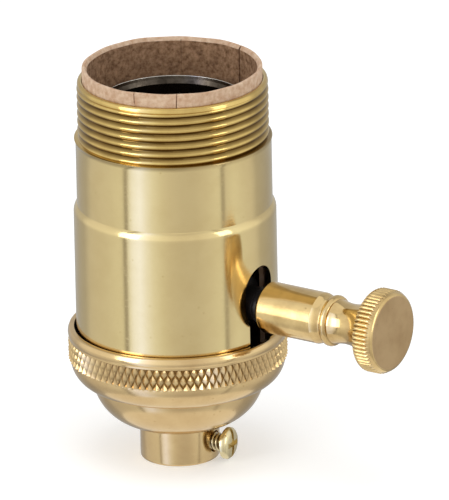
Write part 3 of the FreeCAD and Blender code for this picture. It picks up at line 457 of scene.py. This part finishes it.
# A darker fibre for the inside of the liner: painted shade, mottled like the rest
stained_fibre = mottled("stained_fibre", "#B48B66", "#62401F", 0.9, 0.0, 0.85, 1.0)
phenolic = mottled("black_pressed_phenolic", "#1B1715", "#0F0D0C", 4.0, 0.0, 0.28, 0.15)
nickel = mottled("bright_nickel_plating", "#D8D3CB", "#A79F94", 5.0, 1.0, 0.16, 0.05)
# A dark plating for the inside of the screw shell: painted shade
shaded_inside_plating = mottled("tarnished_plating", "#5A5147", "#2E2821", 3.0, 1.0, 0.2, 0.1)
steel = mottled("drawn_steel", "#A9A7A2", "#7C7770", 2.0, 1.0, 0.3, 0.1)

# %% [markdown]
# ## Lathe work
# Almost every outer piece is turned on a lathe, so it is made as one outline that goes round
# an axis. The outline is a list of corners. A corner can be rounded a little, because light
# catches the soft edges of real turned brass, and an arc can lead to it. Two extra points
# stand beside each rounded corner, so that the smooth shading doesn't smear over the flats.


# %% Outlines
def arc_points(start, stop, radius, side, step=0.35):
    """Points on the arc to stop; side is 1 where it bows to the left of the way, or -1."""
    start, stop = Vector(start), Vector(stop)
    run = stop - start
    left = Vector((-run.y, run.x)).normalized() * side
    centre = (start + stop) / 2 - left * math.sqrt(max(radius ** 2 - (run.length / 2) ** 2, 0))
    first, last = start - centre, stop - centre
    angle = first.angle(last)
    count = max(4, round(radius * angle / step))
    return [tuple(centre + (first * math.sin(angle * (1 - k / count))
                            + last * math.sin(angle * k / count)) / math.sin(angle))
            for k in range(1, count)]


def outline(corners):
    """Points of a closed outline from (r, z), (r, z, rounding) and (r, z, radius, side)."""
    rough_points = []
    for number, corner in enumerate(corners):
        if len(corner) == 4:
            before = corners[number - 1][:2]
            rough_points += [(x, y, 0) for x, y in arc_points(before, corner[:2], *corner[2:])]
        rough_points.append((corner[0], corner[1], corner[2] if len(corner) == 3 else 0))
    points = []
    for number, (x, y, rounding) in enumerate(rough_points):
        here = Vector((x, y))
        before = Vector(rough_points[number - 1][:2]) - here
        after = Vector(rough_points[(number + 1) % len(rough_points)][:2]) - here
        if not rounding:
            points.append((x, y))
            continue
        bend = before.angle(after) / 2
        reach = min(rounding / math.tan(bend), 0.45 * before.length, 0.45 * after.length)
        radius = reach * math.tan(bend)
        before.normalize()
        after.normalize()
        centre = here + (before + after).normalized() * radius / math.sin(bend)
        first, last = here + before * reach - centre, here + after * reach - centre
        angle = first.angle(last)
        points.append(tuple(here + before * reach * 1.25))
        for k in range(5):
            weight = (first * math.sin(angle * (1 - k / 4)) + last * math.sin(angle * k / 4))
            points.append(tuple(centre + weight / math.sin(angle)))
        points.append(tuple(here + after * reach * 1.25))
    return points


def levels(low, high, count):
    """Heights from low to high in even steps, without the first."""
    return [low + (high - low) * k / count for k in range(1, count + 1)]


# %% Turning an outline into a mesh
def turned(name, points, columns, axis="Z"):
    """Turn a closed outline of (radius, along) points about Z or X."""
    mesh = bmesh.new()
    rings = []
    for radius, along in points:
        spots = columns if radius > 1e-6 else 1
        ring = []
        for k in range(spots):
            angle = 2 * math.pi * k / columns
            across, over = radius * math.cos(angle), radius * math.sin(angle)
            place = (across, over, along) if axis == "Z" else (along, across, over)
            ring.append(mesh.verts.new(Vector(place) * MM))
        rings.append(ring)
    for first, second in zip(rings, rings[1:] + rings[:1]):
        for k in range(columns):
            loop = [first[k % len(first)], first[(k + 1) % columns % len(first)],
                    second[(k + 1) % columns % len(second)], second[k % len(second)]]
            corners = list(dict.fromkeys(loop))
            if len(corners) > 2:
                mesh.faces.new(corners)
    bmesh.ops.recalc_face_normals(mesh, faces=mesh.faces)
    data = bpy.data.meshes.new(name)
    mesh.to_mesh(data)
    mesh.free()
    piece = bpy.data.objects.new(name, data)
    bpy.context.collection.objects.link(piece)
    return piece


def freeze(piece):
    """Make the evaluated shape of a piece its own mesh, and take its modifiers off."""
    bpy.context.view_layer.update()
    shaped = piece.evaluated_get(bpy.context.evaluated_depsgraph_get())
    mesh = bpy.data.meshes.new_from_object(shaped)
    piece.modifiers.clear()
    piece.data = mesh
    return piece


def carve(piece, cutter):
    """Cut one piece with another, which is then thrown away."""
    knife = piece.modifiers.new("carve", "BOOLEAN")
    knife.operation = "DIFFERENCE"
    knife.solver = "EXACT"
    knife.object = cutter
    freeze(piece)
    bpy.data.objects.remove(cutter)
    return piece


def prism(name, corners, start, stop):
    """A cutter: an outline of (across, up) points drawn out along X."""
    count = len(corners)
    spots = [Vector((x, a, b)) * MM for x in (start, stop) for a, b in corners]
    faces = [tuple(range(count)), tuple(range(count, 2 * count))]
    faces += [(k, (k + 1) % count, count + (k + 1) % count, count + k) for k in range(count)]
    mesh = bmesh.new()
    verts = [mesh.verts.new(s) for s in spots]
    for face in faces:
        mesh.faces.new([verts[i] for i in face])
    bmesh.ops.recalc_face_normals(mesh, faces=mesh.faces)
    data = bpy.data.meshes.new(name)
    mesh.to_mesh(data)
    mesh.free()
    piece = bpy.data.objects.new(name, data)
    bpy.context.collection.objects.link(piece)
    return piece


def dress(piece, material, body, slot, *nodes, sharp=38):
    """Shade a piece, give it its material, and let it ride on its body in place of CAD nodes."""
    piece.data.materials.clear()
    piece.data.materials.append(material)
    piece.data.set_sharp_from_angle(angle=math.radians(sharp))
    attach(piece, body)
    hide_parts(*nodes)
    triangles = sum(len(p.vertices) - 2 for p in piece.data.polygons)
    print(piece.name, "has", triangles, "triangles and rides on", body)


# %% [markdown]
# ## Threads and knurls as rules
# A rolled thread, a diamond knurl and a straight knurl are each one short rule that says how
# far every point of a turned surface moves out or in. Geometry Nodes write such a rule once,
# with named inputs for its sizes. The thread's rule counts turns from the height and the
# angle, so it winds up the piece like the real one. The diamond knurl is two sets of slanting
# V grooves that cross, and a point lies as deep as the nearer groove makes it. The straight
# knurl presses ridges in a rim but can't reach below its bevelled edge. Each tree also keeps
# how deep a point lies as "hollow", which the brass paints dark brown: partly tarnish, partly
# painted shade in the grooves.


# %% Helpers for Geometry Nodes
def new_tree(name, sizes):
    """A geometry tree with named inputs, and its input and output nodes."""
    tree = bpy.data.node_groups.new(name, "GeometryNodeTree")
    tree.interface.new_socket("Geometry", in_out="INPUT", socket_type="NodeSocketGeometry")
    for label, number in sizes.items():
        socket = tree.interface.new_socket(label, in_out="INPUT", socket_type="NodeSocketFloat")
        socket.default_value = number
    tree.interface.new_socket("Material", in_out="INPUT", socket_type="NodeSocketMaterial")
    tree.interface.new_socket("Geometry", in_out="OUTPUT", socket_type="NodeSocketGeometry")
    return tree, add_node(tree, "NodeGroupInput").outputs


def maths(tree, operation, *values):
    """The output of one sum on up to three values."""
    return add_node(tree, "ShaderNodeMath", dict(enumerate(values)), operation=operation).outputs[0]


def around(tree):
    """A point's radius from the Z axis, its angle in turns, its height and its way out."""
    place = add_node(tree, "GeometryNodeInputPosition").outputs[0]
    x, y, z = add_node(tree, "ShaderNodeSeparateXYZ", {0: place}).outputs
    level = add_node(tree, "ShaderNodeCombineXYZ", {0: x, 1: y}).outputs[0]
    radius = add_node(tree, "ShaderNodeVectorMath", {0: level}, operation="LENGTH")
    outward = add_node(tree, "ShaderNodeVectorMath", {0: level}, operation="NORMALIZE")
    turns = maths(tree, "DIVIDE", maths(tree, "ARCTAN2", y, x), 2 * math.pi)
    return radius.outputs["Value"], turns, z, outward.outputs[0]


def finish_tree(tree, geometry, shift, outward, hollow, material):
    """Move the points outwards by shift, keep their hollow, and set the material."""
    move = add_node(tree, "ShaderNodeVectorMath", {0: outward, 3: shift}, operation="SCALE")
    kept = add_node(tree, "GeometryNodeStoreNamedAttribute", {
        "Geometry": geometry, "Name": "hollow", "Value": hollow}, data_type="FLOAT")
    moved = add_node(tree, "GeometryNodeSetPosition", {
        "Geometry": kept.outputs[0], "Offset": move.outputs[0]})
    real = add_node(tree, "GeometryNodeRealizeInstances", {"Geometry": moved.outputs[0]})
    named = add_node(tree, "GeometryNodeSetMaterial", {"Geometry": real.outputs[0],
                                                       "Material": material})
    add_node(tree, "NodeGroupOutput", {0: named.outputs[0]})
    return tree


def grow(piece, tree, **values):
    """Run a geometry tree on a piece, with sizes in metres, plain numbers and a material."""
    modifier = piece.modifiers.new("grow", "NODES")
    modifier.node_group = tree
    for socket in tree.interface.items_tree:
        key = socket.name.lower().replace(" ", "_")
        if socket.in_out == "INPUT" and key in values:
            modifier[socket.identifier] = values[key]
    return freeze(piece)


# %% The rolled thread
thread_tree, given = new_tree("rolled_thread", {
    "From": 0.0, "To": 0.01, "Pitch": 0.0016, "Depth": 0.0005, "Centre": 0.0, "Fade": 0.001,
    "Fullness": 0.75,
})
radius, turns, z, outward = around(thread_tree)
climb = maths(thread_tree, "DIVIDE", maths(thread_tree, "SUBTRACT", z, given["From"]),
              given["Pitch"])
phase = maths(thread_tree, "MULTIPLY", maths(thread_tree, "SUBTRACT", climb, turns), 2 * math.pi)
crest = maths(thread_tree, "MULTIPLY_ADD", maths(thread_tree, "COSINE", phase), 0.5, 0.5)
crest = maths(thread_tree, "POWER", crest, given["Fullness"])
start = add_node(thread_tree, "ShaderNodeMapRange", {
    "Value": z, "From Min": given["From"],
    "From Max": maths(thread_tree, "ADD", given["From"], given["Fade"]),
}, interpolation_type="SMOOTHSTEP").outputs[0]
stop = add_node(thread_tree, "ShaderNodeMapRange", {
    "Value": z, "From Min": given["To"],
    "From Max": maths(thread_tree, "SUBTRACT", given["To"], given["Fade"]),
}, interpolation_type="SMOOTHSTEP").outputs[0]
window = maths(thread_tree, "MULTIPLY", start, stop)
height = maths(thread_tree, "MULTIPLY", maths(thread_tree, "SUBTRACT", crest, given["Centre"]),
               maths(thread_tree, "MULTIPLY", given["Depth"], window))
# How deep a point lies in the thread's groove, which the brass paints as tarnish and painted shade
sunk = maths(thread_tree, "MULTIPLY", maths(thread_tree, "SUBTRACT", 1.0, crest), window)
sunk = maths(thread_tree, "POWER", sunk, 0.8)
finish_tree(thread_tree, given["Geometry"], height, outward, sunk, given["Material"])

# %% The diamond knurl
knurl_tree, given = new_tree("diamond_knurl", {
    "Around": 88.0, "Bottom": 0.02, "Top": 0.0246, "Row": 0.0016, "Depth": 0.0005,
    "Outside": 0.02,
})
radius, turns, z, outward = around(knurl_tree)
across = maths(knurl_tree, "MULTIPLY", turns, given["Around"])
rise = maths(knurl_tree, "SUBTRACT", z, given["Bottom"])
rise = maths(knurl_tree, "DIVIDE", rise, maths(knurl_tree, "MULTIPLY", given["Row"], 2.0))
slopes = []
# Keeps every value above zero before its fraction is taken
POSITIVE = 100.0
for operation in ("ADD", "SUBTRACT"):
    slant = maths(knurl_tree, operation, across, rise)
    saw = maths(knurl_tree, "FRACT", maths(knurl_tree, "ADD", slant, POSITIVE))
    fold = maths(knurl_tree, "ABSOLUTE", maths(knurl_tree, "SUBTRACT", saw, 0.5))
    slopes.append(maths(knurl_tree, "MULTIPLY_ADD", fold, -2.0, 1.0))
peak = maths(knurl_tree, "MINIMUM", *slopes)
# A little beyond both ends, in metres, so that the rows of points at the ends count as inside
MARGIN = 2e-5
lowest = maths(knurl_tree, "SUBTRACT", given["Bottom"], MARGIN)
highest = maths(knurl_tree, "ADD", given["Top"], MARGIN)
above = maths(knurl_tree, "GREATER_THAN", z, lowest)
below = maths(knurl_tree, "LESS_THAN", z, highest)
outer = maths(knurl_tree, "GREATER_THAN", radius, given["Outside"])
zone = maths(knurl_tree, "MULTIPLY", outer, maths(knurl_tree, "MULTIPLY", above, below))
sunk = maths(knurl_tree, "MULTIPLY", maths(knurl_tree, "SUBTRACT", 1.0, peak), zone)
# A mesh cell that a groove crosses is split along the groove, and every other cell is flat
column = maths(knurl_tree, "FLOOR", maths(knurl_tree, "MULTIPLY", across, 4.0))
line = maths(knurl_tree, "FLOOR", maths(knurl_tree, "MULTIPLY", rise, 4.0))
step = maths(knurl_tree, "FLOORED_MODULO", maths(knurl_tree, "SUBTRACT", column, line), 4.0)
rising = maths(knurl_tree, "MULTIPLY", maths(knurl_tree, "LESS_THAN", step, 0.5), zone)
first = add_node(knurl_tree, "GeometryNodeTriangulate", {
    "Mesh": given["Geometry"], "Selection": rising}, quad_method="FIXED")
split = add_node(knurl_tree, "GeometryNodeTriangulate", {
    "Mesh": first.outputs[0], "Selection": zone}, quad_method="FIXED_ALTERNATE")
shift = maths(knurl_tree, "MULTIPLY", sunk, maths(knurl_tree, "MULTIPLY", given["Depth"], -1.0))
# The deepest grooves of the knurl get the dark brown of the hollows: tarnish and painted shade
groove_shade_and_tarnish = maths(knurl_tree, "MULTIPLY", maths(knurl_tree, "POWER", sunk, 4.0), 0.6)
finish_tree(knurl_tree, split.outputs[0], shift, outward, groove_shade_and_tarnish, given["Material"])

# %% The straight knurl
ridge_tree, given = new_tree("straight_knurl", {
    "Ridges": 56.0, "Back": 0.044, "Radius": 0.0079, "Depth": 0.0003,
})
radius, turns, z, outward = around(ridge_tree)
wave = maths(ridge_tree, "COSINE", maths(ridge_tree, "MULTIPLY", turns,
                                         maths(ridge_tree, "MULTIPLY", given["Ridges"], math.pi)))
press = maths(ridge_tree, "SUBTRACT", 1.0, maths(ridge_tree, "ABSOLUTE", wave))
limit = maths(ridge_tree, "SUBTRACT", given["Radius"],
              maths(ridge_tree, "MULTIPLY", press, given["Depth"]))
on_head = maths(ridge_tree, "GREATER_THAN", z, given["Back"])
shift = maths(ridge_tree, "MINIMUM", maths(ridge_tree, "SUBTRACT", limit, radius), 0.0)
shift = maths(ridge_tree, "MULTIPLY", shift, on_head)
# The grooves between the ridges get the dark brown of the hollows: tarnish and painted shade
groove_shade_and_tarnish = maths(ridge_tree, "MULTIPLY", maths(ridge_tree, "POWER", press, 3.0),
              maths(ridge_tree, "LESS_THAN", shift, -1e-6))
finish_tree(ridge_tree, given["Geometry"], shift, outward, groove_shade_and_tarnish, given["Material"])
print("rules", thread_tree.name, knurl_tree.name, ridge_tree.name)

# %% [markdown]
# ## The cap
# The cap is one turned piece: a neck that screws on the lamp, a bowl, a step, a bulging band,
# the diamond knurl and a plain lip that the shell drops into. The columns of the mesh are four
# to each diamond and its rows two to each row of points, so every groove of the knurl lies on
# an edge of the mesh and the diamonds come out crisp. They are cut into triangles along their
# grooves and left unsmoothed, because real diamonds have flat sides.

# %% Turn the cap
DIAMONDS = 88
KNURL_LOW, KNURL_HIGH, DIAMOND_ROW = 20.0, 23.9, 1.56
rows = [(20.6, z) for z in levels(KNURL_LOW, KNURL_HIGH, 5)]
cap_outline = outline([
    (4.95, 0, 0.25), (6.95, 0), (7.45, 0.5, 0.5, -1), (7.45, 7.0, 0.2), (7.95, 7.0),
    (16.1, 15.0, 9.5, -1), (16.3, 15.06), (16.9, 15.2, 0.08),
    (20.15, 19.85, 4.8, -1), (20.6, KNURL_LOW), *rows,
    (20.4, 24.05), (20.4, 24.4, 0.1), (20.4, 25.8, 1.4, -1), (20.05, 26.15, 0.42, -1),
    (19.4, 26.1), (19.25, 25.75), (19.25, 20.6), (17.12, 20.6), (17.12, 17.1), (14.9, 17.1),
    (14.9, 15.0), (7.95, 8.3, 9.5, 1), (4.95, 8.3),
])
cap = turned("cap_turned", cap_outline, DIAMONDS * 4)
grow(cap, knurl_tree, around=DIAMONDS, bottom=KNURL_LOW * MM, top=KNURL_HIGH * MM,
     row=DIAMOND_ROW * MM, depth=0.58 * MM, outside=20.45 * MM, material=cap_brass)
# The seat behind the lip, where the shell stands in the cap, is set fully hollow: painted shade
# between the parts, in the dark brown of the hollows
painted_seat_shade = cap.data.attributes["hollow"].data
for corner in cap.data.vertices:
    if corner.co.z > 17 * MM and corner.co.xy.length < 19.3 * MM:
        painted_seat_shade[corner.index].value = 1.0
# The knurled faces stay flat, and the rest of the cap is smooth
for face in cap.data.polygons:
    middle = face.center
    knurled = KNURL_LOW * MM < middle.z < KNURL_HIGH * MM and middle.xy.length > 19.7 * MM
    face.use_smooth = not knurled
print("cap is", [round(d * 1000, 1) for d in cap.dimensions], "mm")

# %% Hole for the set screw
SET_AZIMUTH, SET_HEIGHT = 7.0, 3.6
set_turn = Matrix.Translation((0, 0, SET_HEIGHT * MM)) @ Matrix.Rotation(
    math.radians(SET_AZIMUTH), 4, "Z")
drill = turned("drill", [(0, 4.0), (1.86, 4.0), (1.86, 6.9), (2.2, 7.75), (0, 7.75)], 64, "X")
drill.data.transform(set_turn)
carve(cap, drill)
dress(cap, cap_brass, "socket", "cap_brass", "cap")

# %% [markdown]
# ## The outer shell
# The shell is a plain tube of spun brass with a shoulder, and its upper end is rolled into the
# thread that takes a shade ring. The thread's rule moves both skins of the tube, because on
# the real one the sheet itself is rolled. The keyhole is cut afterwards with a solid cutter,
# so that the thickness of the sheet shows in it, as it does on the real shell.

# %% Turn the shell and roll its thread
THREAD_FOOT, THREAD_TOP, THREAD_PITCH = 63.5, 73.6, 1.5875
thread_rows = levels(THREAD_FOOT, THREAD_TOP, 84)
shell_outline = outline([
    (18.15, 20.6), (18.95, 20.6), *[(18.95, z) for z in levels(20.6, 48.6, 7)],
    (18.95, 49.0), (18.3, 50.5, 2.2, -1), *[(18.3, z) for z in levels(50.9, 62.4, 3)],
    (18.3, 63.3, 0.14), (17.35, THREAD_FOOT), *[(17.35, z) for z in thread_rows],
    (17.55, 73.72), (17.79, 73.8, 0.12), (17.79, 74.15), (17.25, 74.7, 0.6, -1),
    (16.95, 74.7, 0.08), *[(16.95, z) for z in reversed(thread_rows)], (16.95, 63.3),
    (17.5, 62.5), (17.5, 50.7), (18.15, 48.4),
])
shell = turned("shell_turned", shell_outline, 288)
grow(shell, thread_tree, **{"from": (THREAD_FOOT - 0.9) * MM, "to": (THREAD_TOP + 0.5) * MM,
                            "pitch": THREAD_PITCH * MM, "depth": 0.55 * MM, "fade": 1.1 * MM,
                            "fullness": 0.7, "material": shell_brass})
print("thread of", round((THREAD_TOP - THREAD_FOOT) / THREAD_PITCH, 1), "turns")


# %% Cut the keyhole
def keyhole_outline(half, low, high, slot, foot):
    """A keyhole: a round-topped hole from low to high, on an open slot below it."""
    join = low - math.sqrt(half ** 2 - slot ** 2)
    bend = math.asin(slot / half)
    points = [(-slot, foot), (slot, foot), (slot, join)]
    points += [(half * math.sin(a), low - half * math.cos(a))
               for a in (bend + (math.pi / 2 - bend) * k / 10 for k in range(1, 10))]
    points += [(half * math.cos(math.pi * k / 32), high + half * math.sin(math.pi * k / 32))
               for k in range(33)]
    points += [(-y, z) for y, z in reversed(points[3:12])]
    points.append((-slot, join))
    return points


carve(shell, prism("keyhole_cutter", keyhole_outline(4.25, 33.4, 36.6, 3.35, 19.6), 12.0, 20.0))
for face in shell.data.polygons:
    face.use_smooth = True
dress(shell, shell_brass, "socket", "shell_brass", "shell")
# The thread's outside takes the darker brass
shell.data.materials.append(thread_brass)
for face in shell.data.polygons:
    outer = face.center.xy.dot(face.normal.xy) > 0
    face.material_index = 1 if outer and face.center.z > (THREAD_FOOT - 0.1) * MM else 0

# %% [markdown]
# ## The fibre liner
# The liner is a rolled tube of fibre that stands two and a half millimetres above the shell and
# keeps the live screw shell away from it. Its rim is soft and a little uneven, with a bevel
# inside. It has a slot around the switch boss, whose cut edge shows in the keyhole. Two old
# cracks run down from its rim at the front, and at the back the seam of the rolled paper and a
# crease show inside, where the fibre is painted darker as painted shade.

# %% Roll the liner
LINER_TOP = 77.25
liner_outline = outline([
    (16.85, 17.7), *[(16.85, z) for z in levels(17.7, 73.5, 12)], (16.85, 75.4),
    (16.85, LINER_TOP, 0.22), (16.3, LINER_TOP, 0.12), (15.9, 76.7, 0.2),
    (15.9, 75.0), (15.9, 71.0), (15.9, 47.0), (15.9, 17.7),
])
liner = turned("fibre_liner", liner_outline, 240)
for corner in liner.data.vertices:
    if corner.co.z > 75 * MM:
        angle = math.atan2(corner.co.y, corner.co.x)
        wander = 0.06 * math.sin(5 * angle + 1.0) + 0.04 * math.sin(13 * angle)
        corner.co.z += (wander - 0.1) * MM
slot = keyhole_outline(5.6, 36.4, 36.41, 5.59, 16.7)
carve(liner, prism("slot_cutter", slot, 12.0, 18.0))

# %% Crack and stain the liner
for azimuth, depth, slant in ((AZIMUTH + 2.2, 2.4, 0.12), (AZIMUTH - 25, 2.0, -0.1)):
    crack = prism("crack_cutter", [(-0.1, LINER_TOP - depth), (0.06, LINER_TOP - depth - 0.5),
                                   (0.14 + slant, LINER_TOP + 0.5),
                                   (slant - 0.1, LINER_TOP + 0.5)], 16.35, 17.2)
    crack.data.transform(Matrix.Rotation(math.radians(azimuth - 90), 4, "Z"))
    carve(liner, crack)
# The seam of the rolled paper and a crease beside it, on the inside at the back
for angle, deep, half in ((72, 0.43, 0.2), (118, 0.15, 0.06)):
    seam = prism("seam_cutter", [(-half, 62), (half, 62), (half, 78), (-half, 78)],
                 15.6, 15.9 + deep)
    seam.data.transform(Matrix.Rotation(math.radians(angle), 4, "Z"))
    carve(liner, seam)
for face in liner.data.polygons:
    face.use_smooth = True
dress(liner, fibre, "socket", "fibre", "shell_liner")
# The inside of the liner takes the darker fibre: painted shade
liner.data.materials.append(stained_fibre)
for face in liner.data.polygons:
    inside = face.center.xy.length < 16.34 * MM and face.center.z < 76.5 * MM
    face.material_index = 1 if inside else 0

# %% [markdown]
# ## The screw shell for the bulb
# This is thin sheet with the coarse rolled thread of a medium bulb base. The same rule makes
# it, with the wave centred on the sheet, so that it swings in and out. Its rim flares a little
# and catches the light inside the liner.

# %% Roll the screw shell
bulb_rows = levels(51.1, 68.6, 70)
bulb_outline = outline([
    (6.4, 46.5), (13.25, 46.5, 0.3), *[(13.25, z) for z in bulb_rows], (13.25, 69.1),
    (13.6, 69.8, 0.4), (13.85, 70.5, 0.1), (13.45, 70.5, 0.1), (13.25, 69.9, 0.4),
    (12.85, 69.1, 0.2), *[(12.85, z) for z in reversed(bulb_rows)], (12.85, 46.9, 0.3),
    (6.4, 46.9),
])
bulb_shell = turned("bulb_screw_shell", bulb_outline, 200)
grow(bulb_shell, thread_tree, **{"from": 51.1 * MM, "to": 66.0 * MM, "pitch": 3.629 * MM,
                                 "depth": 0.9 * MM, "fade": 2.0 * MM, "centre": 0.5,
                                 "fullness": 1.0, "material": nickel})
for face in bulb_shell.data.polygons:
    face.use_smooth = True
dress(bulb_shell, nickel, "socket", "plated_metal", "screw_shell")
# Below the rim its inside is painted dark: painted shade inside the screw shell
bulb_shell.data.materials.append(shaded_inside_plating)
for face in bulb_shell.data.polygons:
    inwards = face.center.xy.dot(face.normal.xy) < 0 and face.center.z < 70.4 * MM
    face.material_index = 1 if inwards else 0

# %% [markdown]
# ## The knob
# The knob is turned from one bar: a sleeve, a bead, a hollow waist that flares, and a head
# with a straight knurl for the fingers. It is turned about the Z axis first, because the
# knurl's rule counts around Z, and then laid along X at the height of the shaft.

# %% Turn the knob
knob_outline = outline([
    (0, 20.9), (4.85, 20.9, 0.3), *[(4.85, x) for x in levels(21.4, 32.5, 2)],
    (4.85, 32.8, 0.12), (4.05, 34.3, 3.0, -1), (4.05, 34.55), (4.45, 36.25, 0.935, -1),
    (4.25, 36.3), (4.25, 36.42), (5.9, 44.3, 8.1, 1), (6.05, 44.35), (7.45, 44.35), (7.7, 44.4),
    (7.95, 44.75),
    *[(7.95, x) for x in levels(44.75, 47.3, 6)], (7.8, 47.52), (7.68, 47.65),
    (6.95, 48.4, 0.99, -1), (6.75, 48.4), (3.5, 48.38), (0, 48.38),
])
knob = turned("turn_knob_turned", knob_outline, 448)
grow(knob, ridge_tree, ridges=56.0, back=44.3 * MM, radius=7.95 * MM, depth=0.36 * MM,
     material=knob_brass)
knob.data.transform(Matrix.Translation((0, 0, SHAFT * MM)) @ Matrix.Rotation(
    math.radians(90), 4, "Y"))
for face in knob.data.polygons:
    face.use_smooth = True
dress(knob, knob_brass, "knob", "cap_brass", "turn_knob", sharp=50)
# The flat face is satin
knob.data.materials.append(face_brass)
for face in knob.data.polygons:
    face.material_index = 1 if face.center.x > 48.36 * MM else 0

# %% [markdown]
# ## The set screw
# A small machine screw in the neck grips the pipe. It stands a few millimetres out, so that
# its cut thread shows between the neck and the head. Here the thread's rule cuts inwards. The
# head has a straight slot crossed by a shorter recess, cut with two plain blocks.

# %% Turn and thread the screw
shank_rows = [(1.74, x) for x in levels(5.6, 9.5, 52)]
screw_outline = outline([
    (0, 5.05), (1.16, 5.05), (1.74, 5.6), *shank_rows, (1.74, 9.6), (2.8, 9.6, 0.1),
    (3.05, 9.8, 0.15), (3.05, 10.4), (2.0, 11.1, 1.4, -1), (1.0, 11.2), (0, 11.2),
])
screw = turned("set_screw_turned", screw_outline, 72)
grow(screw, thread_tree, **{"from": 5.4 * MM, "to": 9.8 * MM, "pitch": 0.794 * MM,
                            "depth": 0.34 * MM, "centre": 1.0, "fade": 0.3 * MM,
                            "fullness": 0.6, "material": screw_brass})
screw.data.transform(Matrix.Rotation(math.radians(90), 4, "Y"))
for half_wide, half_high in ((0.4, 4.0), (1.8, 0.5)):
    recess = [(-half_wide, -half_high), (half_wide, -half_high), (half_wide, half_high),
              (-half_wide, half_high)]
    carve(screw, prism("recess_cutter", recess, 10.5, 12.1))
screw.data.transform(set_turn)
for face in screw.data.polygons:
    face.use_smooth = True
dress(screw, screw_brass, "set_screw", "screw_brass", "set_screw", sharp=50)

# %% [markdown]
# ## The parts inside
# The switch block, its contacts, rivets and terminals have their right shapes in the CAD
# model, so they keep them and only take a better material.

# %% Materials for the CAD parts
INNER = {
    fibre: ["cap_liner", "insulating_disc"],
    phenolic: ["switch_base", "switch_body", "switch_rotor"],
    contact_brass: ["body_rivet_1", "body_rivet_2", "screw_shell_rivet_1", "screw_shell_rivet_2",
                    "centre_rivet", "centre_contact", "line_contact", "load_contact",
                    "rotor_contact", "hot_terminal", "hot_terminal_screw"],
    nickel: ["neutral_terminal", "neutral_terminal_screw"],
    steel: ["switch_shaft", "shaft_clip", "detent_spring"],
}
for material, names in INNER.items():
    for name in names:
        for slot_number in range(len(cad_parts[name].material_slots)):
            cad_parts[name].material_slots[slot_number].material = material
print("CAD parts with a new material:", sum(len(names) for names in INNER.values()))

# %% Print both boxes
visual_box = [list(corner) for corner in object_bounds()]
for label, (low, high) in (("cad", cad_box), ("visual", visual_box)):
    print(label, [round((b - a) * 1000, 2) for a, b in zip(low, high)], "mm")
